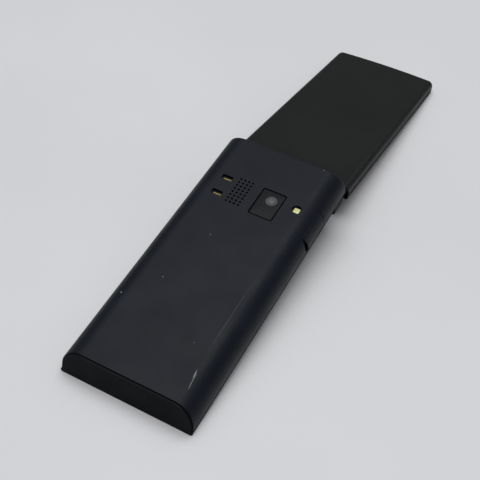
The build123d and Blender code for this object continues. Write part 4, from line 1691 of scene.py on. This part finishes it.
@dataclass(frozen=True)
class Sign:
    """A generic sign: filled plates, and rounded rectangles drawn as a line.

    Each rectangle has its centre, size and corner radius.
    """

    plates: tuple[Outline, ...] = ()
    frames: tuple[tuple[Pair, Pair, float], ...] = ()
    ink: Materials = Materials.LEGEND_INK


class Signs(Enum):
    """Signs of the keys that carry no digit, about the origin as they are read."""

    CALL = Sign((turned(handset(), math.radians(55)),), ink=Materials.CALL_INK)
    END = Sign((handset(),), ink=Materials.END_INK)
    BACK = Sign(([
        (-2.6, 0.0), (-0.8, 1.6), (-0.8, 0.45), (2.4, 0.45), (2.4, -0.45), (-0.8, -0.45),
        (-0.8, -1.6),
    ],))
    LIST = Sign(tuple(rounded_outline((0, y), (3.4, SIGN_LINE), 0.15) for y in (-1.1, 0.0, 1.1)))
    BUBBLE = Sign(
        ([(-0.9, -1.0), (-0.2, -1.0), (-1.1, -1.9)],), (((0.0, 0.3), (3.8, 2.6), 0.9),)
    )
    LETTER = Sign(
        tuple([(x, 1.1), (x, 0.75), (0.0, -0.35), (0.0, 0.0)] for x in (-1.7, 1.7)),
        (((0.0, 0.0), (3.8, 2.6), 0.15),),
    )
    GLOBE = Sign(
        (rounded_outline((0, 0), (3.3, SIGN_LINE * 0.8), 0.1),),
        (((0.0, 0.0), (3.6, 3.6), 1.79), ((0.0, 0.0), (1.6, 3.3), 0.79)),
    )
    ARROWS = Sign(tuple(
        turned([(11.3, 0.0), (10.2, 0.9), (10.2, -0.9)], turn * math.pi / 2) for turn in range(4)
    ))
    DOT = Sign(frames=(((0.0, 0.0), (3.2, 3.2), 1.59),))


@dataclass
class Keypad:
    """Keys, direction ring and rocker pad, with digits and generic signs printed on them."""

    ink: float = 0.02
    sunk: float = 0.01
    digit_height: float = 5.2
    corner_steps: int = 6
    least_corner: float = 0.05
    digits: dict[str, str] = field(default_factory=lambda: {
        f"key_{digit}": digit for digit in "1234567890"
    } | {"key_star": "*", "key_hash": "#"})
    signs: dict[str, Signs] = field(default_factory=lambda: {
        "call_key": Signs.CALL, "end_key": Signs.END, "clear_key": Signs.BACK,
        "menu_key": Signs.LIST, "text_key": Signs.BUBBLE, "mail_key": Signs.LETTER,
        "web_key": Signs.GLOBE, "nav_ring": Signs.ARROWS, "centre_key": Signs.DOT,
    })

    def build(self) -> None:
        """Build the caps and the pad, and print every key."""
        reskin(Materials.KEY_CAP, "key_plastic", *self.digits, *self.signs)
        reskin(Materials.SILICONE, "rubber_grey", "nav_pad")
        for node, digit in self.digits.items():
            self.print_on(node, self.written(digit), Materials.LEGEND_INK)
        for node, sign in self.signs.items():
            self.print_on(node, self.drawn(sign.value), sign.value.ink)

    def written(self, digit: str) -> Mesh:
        """Make one digit a flat plate of ink.

        Args:
            digit: The digit, star or hash.

        Returns:
            The plate about the origin.
        """
        text = bpy.data.curves.new("digit", "FONT")
        text.body = digit
        text.size = self.digit_height * MM
        text.align_x = text.align_y = "CENTER"
        text.extrude = (self.ink + self.sunk) / 2 * MM
        mesh = settled(shown("digit", text))
        mesh.transform(Matrix.Translation((0.0, 0.0, (self.ink - self.sunk) / 2 * MM)))
        return mesh

    def drawn(self, sign: Sign) -> Mesh:
        """Make one sign flat plates and lines of ink.

        Args:
            sign: The sign.

        Returns:
            The plates about the origin.
        """
        form = bmesh.new()
        for outline in sign.plates:
            stacked(form, [(outline, -self.sunk), (outline, self.ink)])
        for centre, size, corner in sign.frames:
            outer = rounded_outline(centre, size, corner, self.corner_steps)
            small = (size[0] - 2 * SIGN_LINE, size[1] - 2 * SIGN_LINE)
            corner = max(self.least_corner, corner - SIGN_LINE)
            inner = rounded_outline(centre, small, corner, self.corner_steps)
            band(form, outer, inner, -self.sunk, self.ink)
        return mesh_of(form, Matrix.Identity(4))

    def print_on(self, node: str, mesh: Mesh, material: Materials) -> None:
        """Lay a legend on its key.

        Args:
            node: The key.
            mesh: The legend, drawn about the origin as it is read.
            material: Its ink.
        """
        box = closed_box(node, base_pose)
        face = Matrix.Translation(Vector((*box.middle.xy, box.low.z)) * MM)
        mesh.transform(base_pose @ face @ Matrix.Rotation(math.pi, 4, "Y"))
        piece_from(mesh, f"legend_{node}", body_name(node), material)


# Table, light and camera

@dataclass
class Studio:
    """Pale table, soft light from above and behind, and the camera of the photograph."""

    table_side: float = 3.0
    focal_pixels: float = 905.77
    pitch: float = math.radians(43.551)
    yaw: float = math.radians(24.934)
    roll: float = math.radians(5.014)
    eye_mm: Place = (104.25, -261.747, 245.313)
    lamp_place: Place = (-0.08, 0.15, 1.5)
    lamp_side: float = 1.4
    lamp_watts: float = 17.6
    sky_colour: str = "#E6E8EC"
    horizon_strength: float = 0.01
    zenith_strength: float = 0.5
    horizon_height: float = 0.1
    zenith_height: float = 0.8
    sensor_mm: float = 36.0
    near_clip: float = 0.01

    def build(self) -> None:
        """Build the whole studio."""
        self.table()
        self.sky()
        self.lamp()
        self.camera()

    def table(self) -> None:
        """Lay the pale table under the phone."""
        form = bmesh.new()
        bmesh.ops.create_grid(form, x_segments=1, y_segments=1, size=self.table_side / 2)
        mesh = bpy.data.meshes.new("table")
        form.to_mesh(mesh)
        form.free()
        top = shown("table", mesh)
        Materials.TABLE.value.dress(top)

    def sky(self) -> None:
        """Set a world that is darker towards the horizon, as a room with dark walls."""
        world = bpy.data.worlds.new("studio")
        world.use_nodes = True
        tree = world.node_tree
        backdrop = tree.nodes["Background"]
        backdrop.inputs["Color"].default_value = linear(self.sky_colour)
        aim = add_node(tree, "ShaderNodeTexCoord").outputs["Generated"]
        height = add_node(tree, "ShaderNodeSeparateXYZ", {"Vector": aim}).outputs["Z"]
        rise = add_node(
            tree, "ShaderNodeMapRange", {"Value": height},
            {
                "From Min": self.horizon_height, "From Max": self.zenith_height,
                "To Min": self.horizon_strength, "To Max": self.zenith_strength,
            },
        )
        tree.links.new(rise.outputs["Result"], backdrop.inputs["Strength"])
        bpy.context.scene.world = world

    def lamp(self) -> None:
        """Hang one large square soft lamp that faces the phone."""
        lamp = bpy.data.lights.new("ceiling_light", "AREA")
        lamp.shape = "SQUARE"
        lamp.size = self.lamp_side
        lamp.energy = self.lamp_watts
        holder = shown("ceiling_light", lamp)
        holder.location = self.lamp_place
        holder.rotation_euler = (-Vector(self.lamp_place)).to_track_quat("-Z", "Y").to_euler()

    def camera(self) -> None:
        """Set the camera where the photograph was taken."""
        ahead = Vector((
            -math.sin(self.yaw) * math.cos(self.pitch),
            math.cos(self.yaw) * math.cos(self.pitch),
            -math.sin(self.pitch),
        ))
        level = Vector((math.cos(self.yaw), math.sin(self.yaw), 0.0))
        upright = level.cross(ahead)
        right = math.cos(self.roll) * level + math.sin(self.roll) * upright
        up = -math.sin(self.roll) * level + math.cos(self.roll) * upright
        lens = bpy.data.cameras.new("camera")
        lens.sensor_width = self.sensor_mm
        lens.lens = self.focal_pixels / IMAGE_SIDE * self.sensor_mm
        lens.clip_start = self.near_clip
        camera = shown("camera", lens)
        turn = Matrix((right, up, -ahead)).transposed().to_4x4()
        camera.matrix_world = Matrix.Translation(Vector(self.eye_mm) * MM) @ turn
        bpy.context.scene.camera = camera


def main() -> None:
    """Build the phone and its studio."""
    logging.basicConfig(level=logging.INFO, format="%(name)s: %(message)s")
    bpy.context.scene.view_settings.view_transform = "Standard"
    for part in (
        KeypadHalf(), CameraWindow(), Light(), LidShells(), Inside(), Fittings(), SoundCloth(),
        Screws(), Keypad(), Studio(),
    ):
        part.build()


if __name__ == "__main__":
    main()
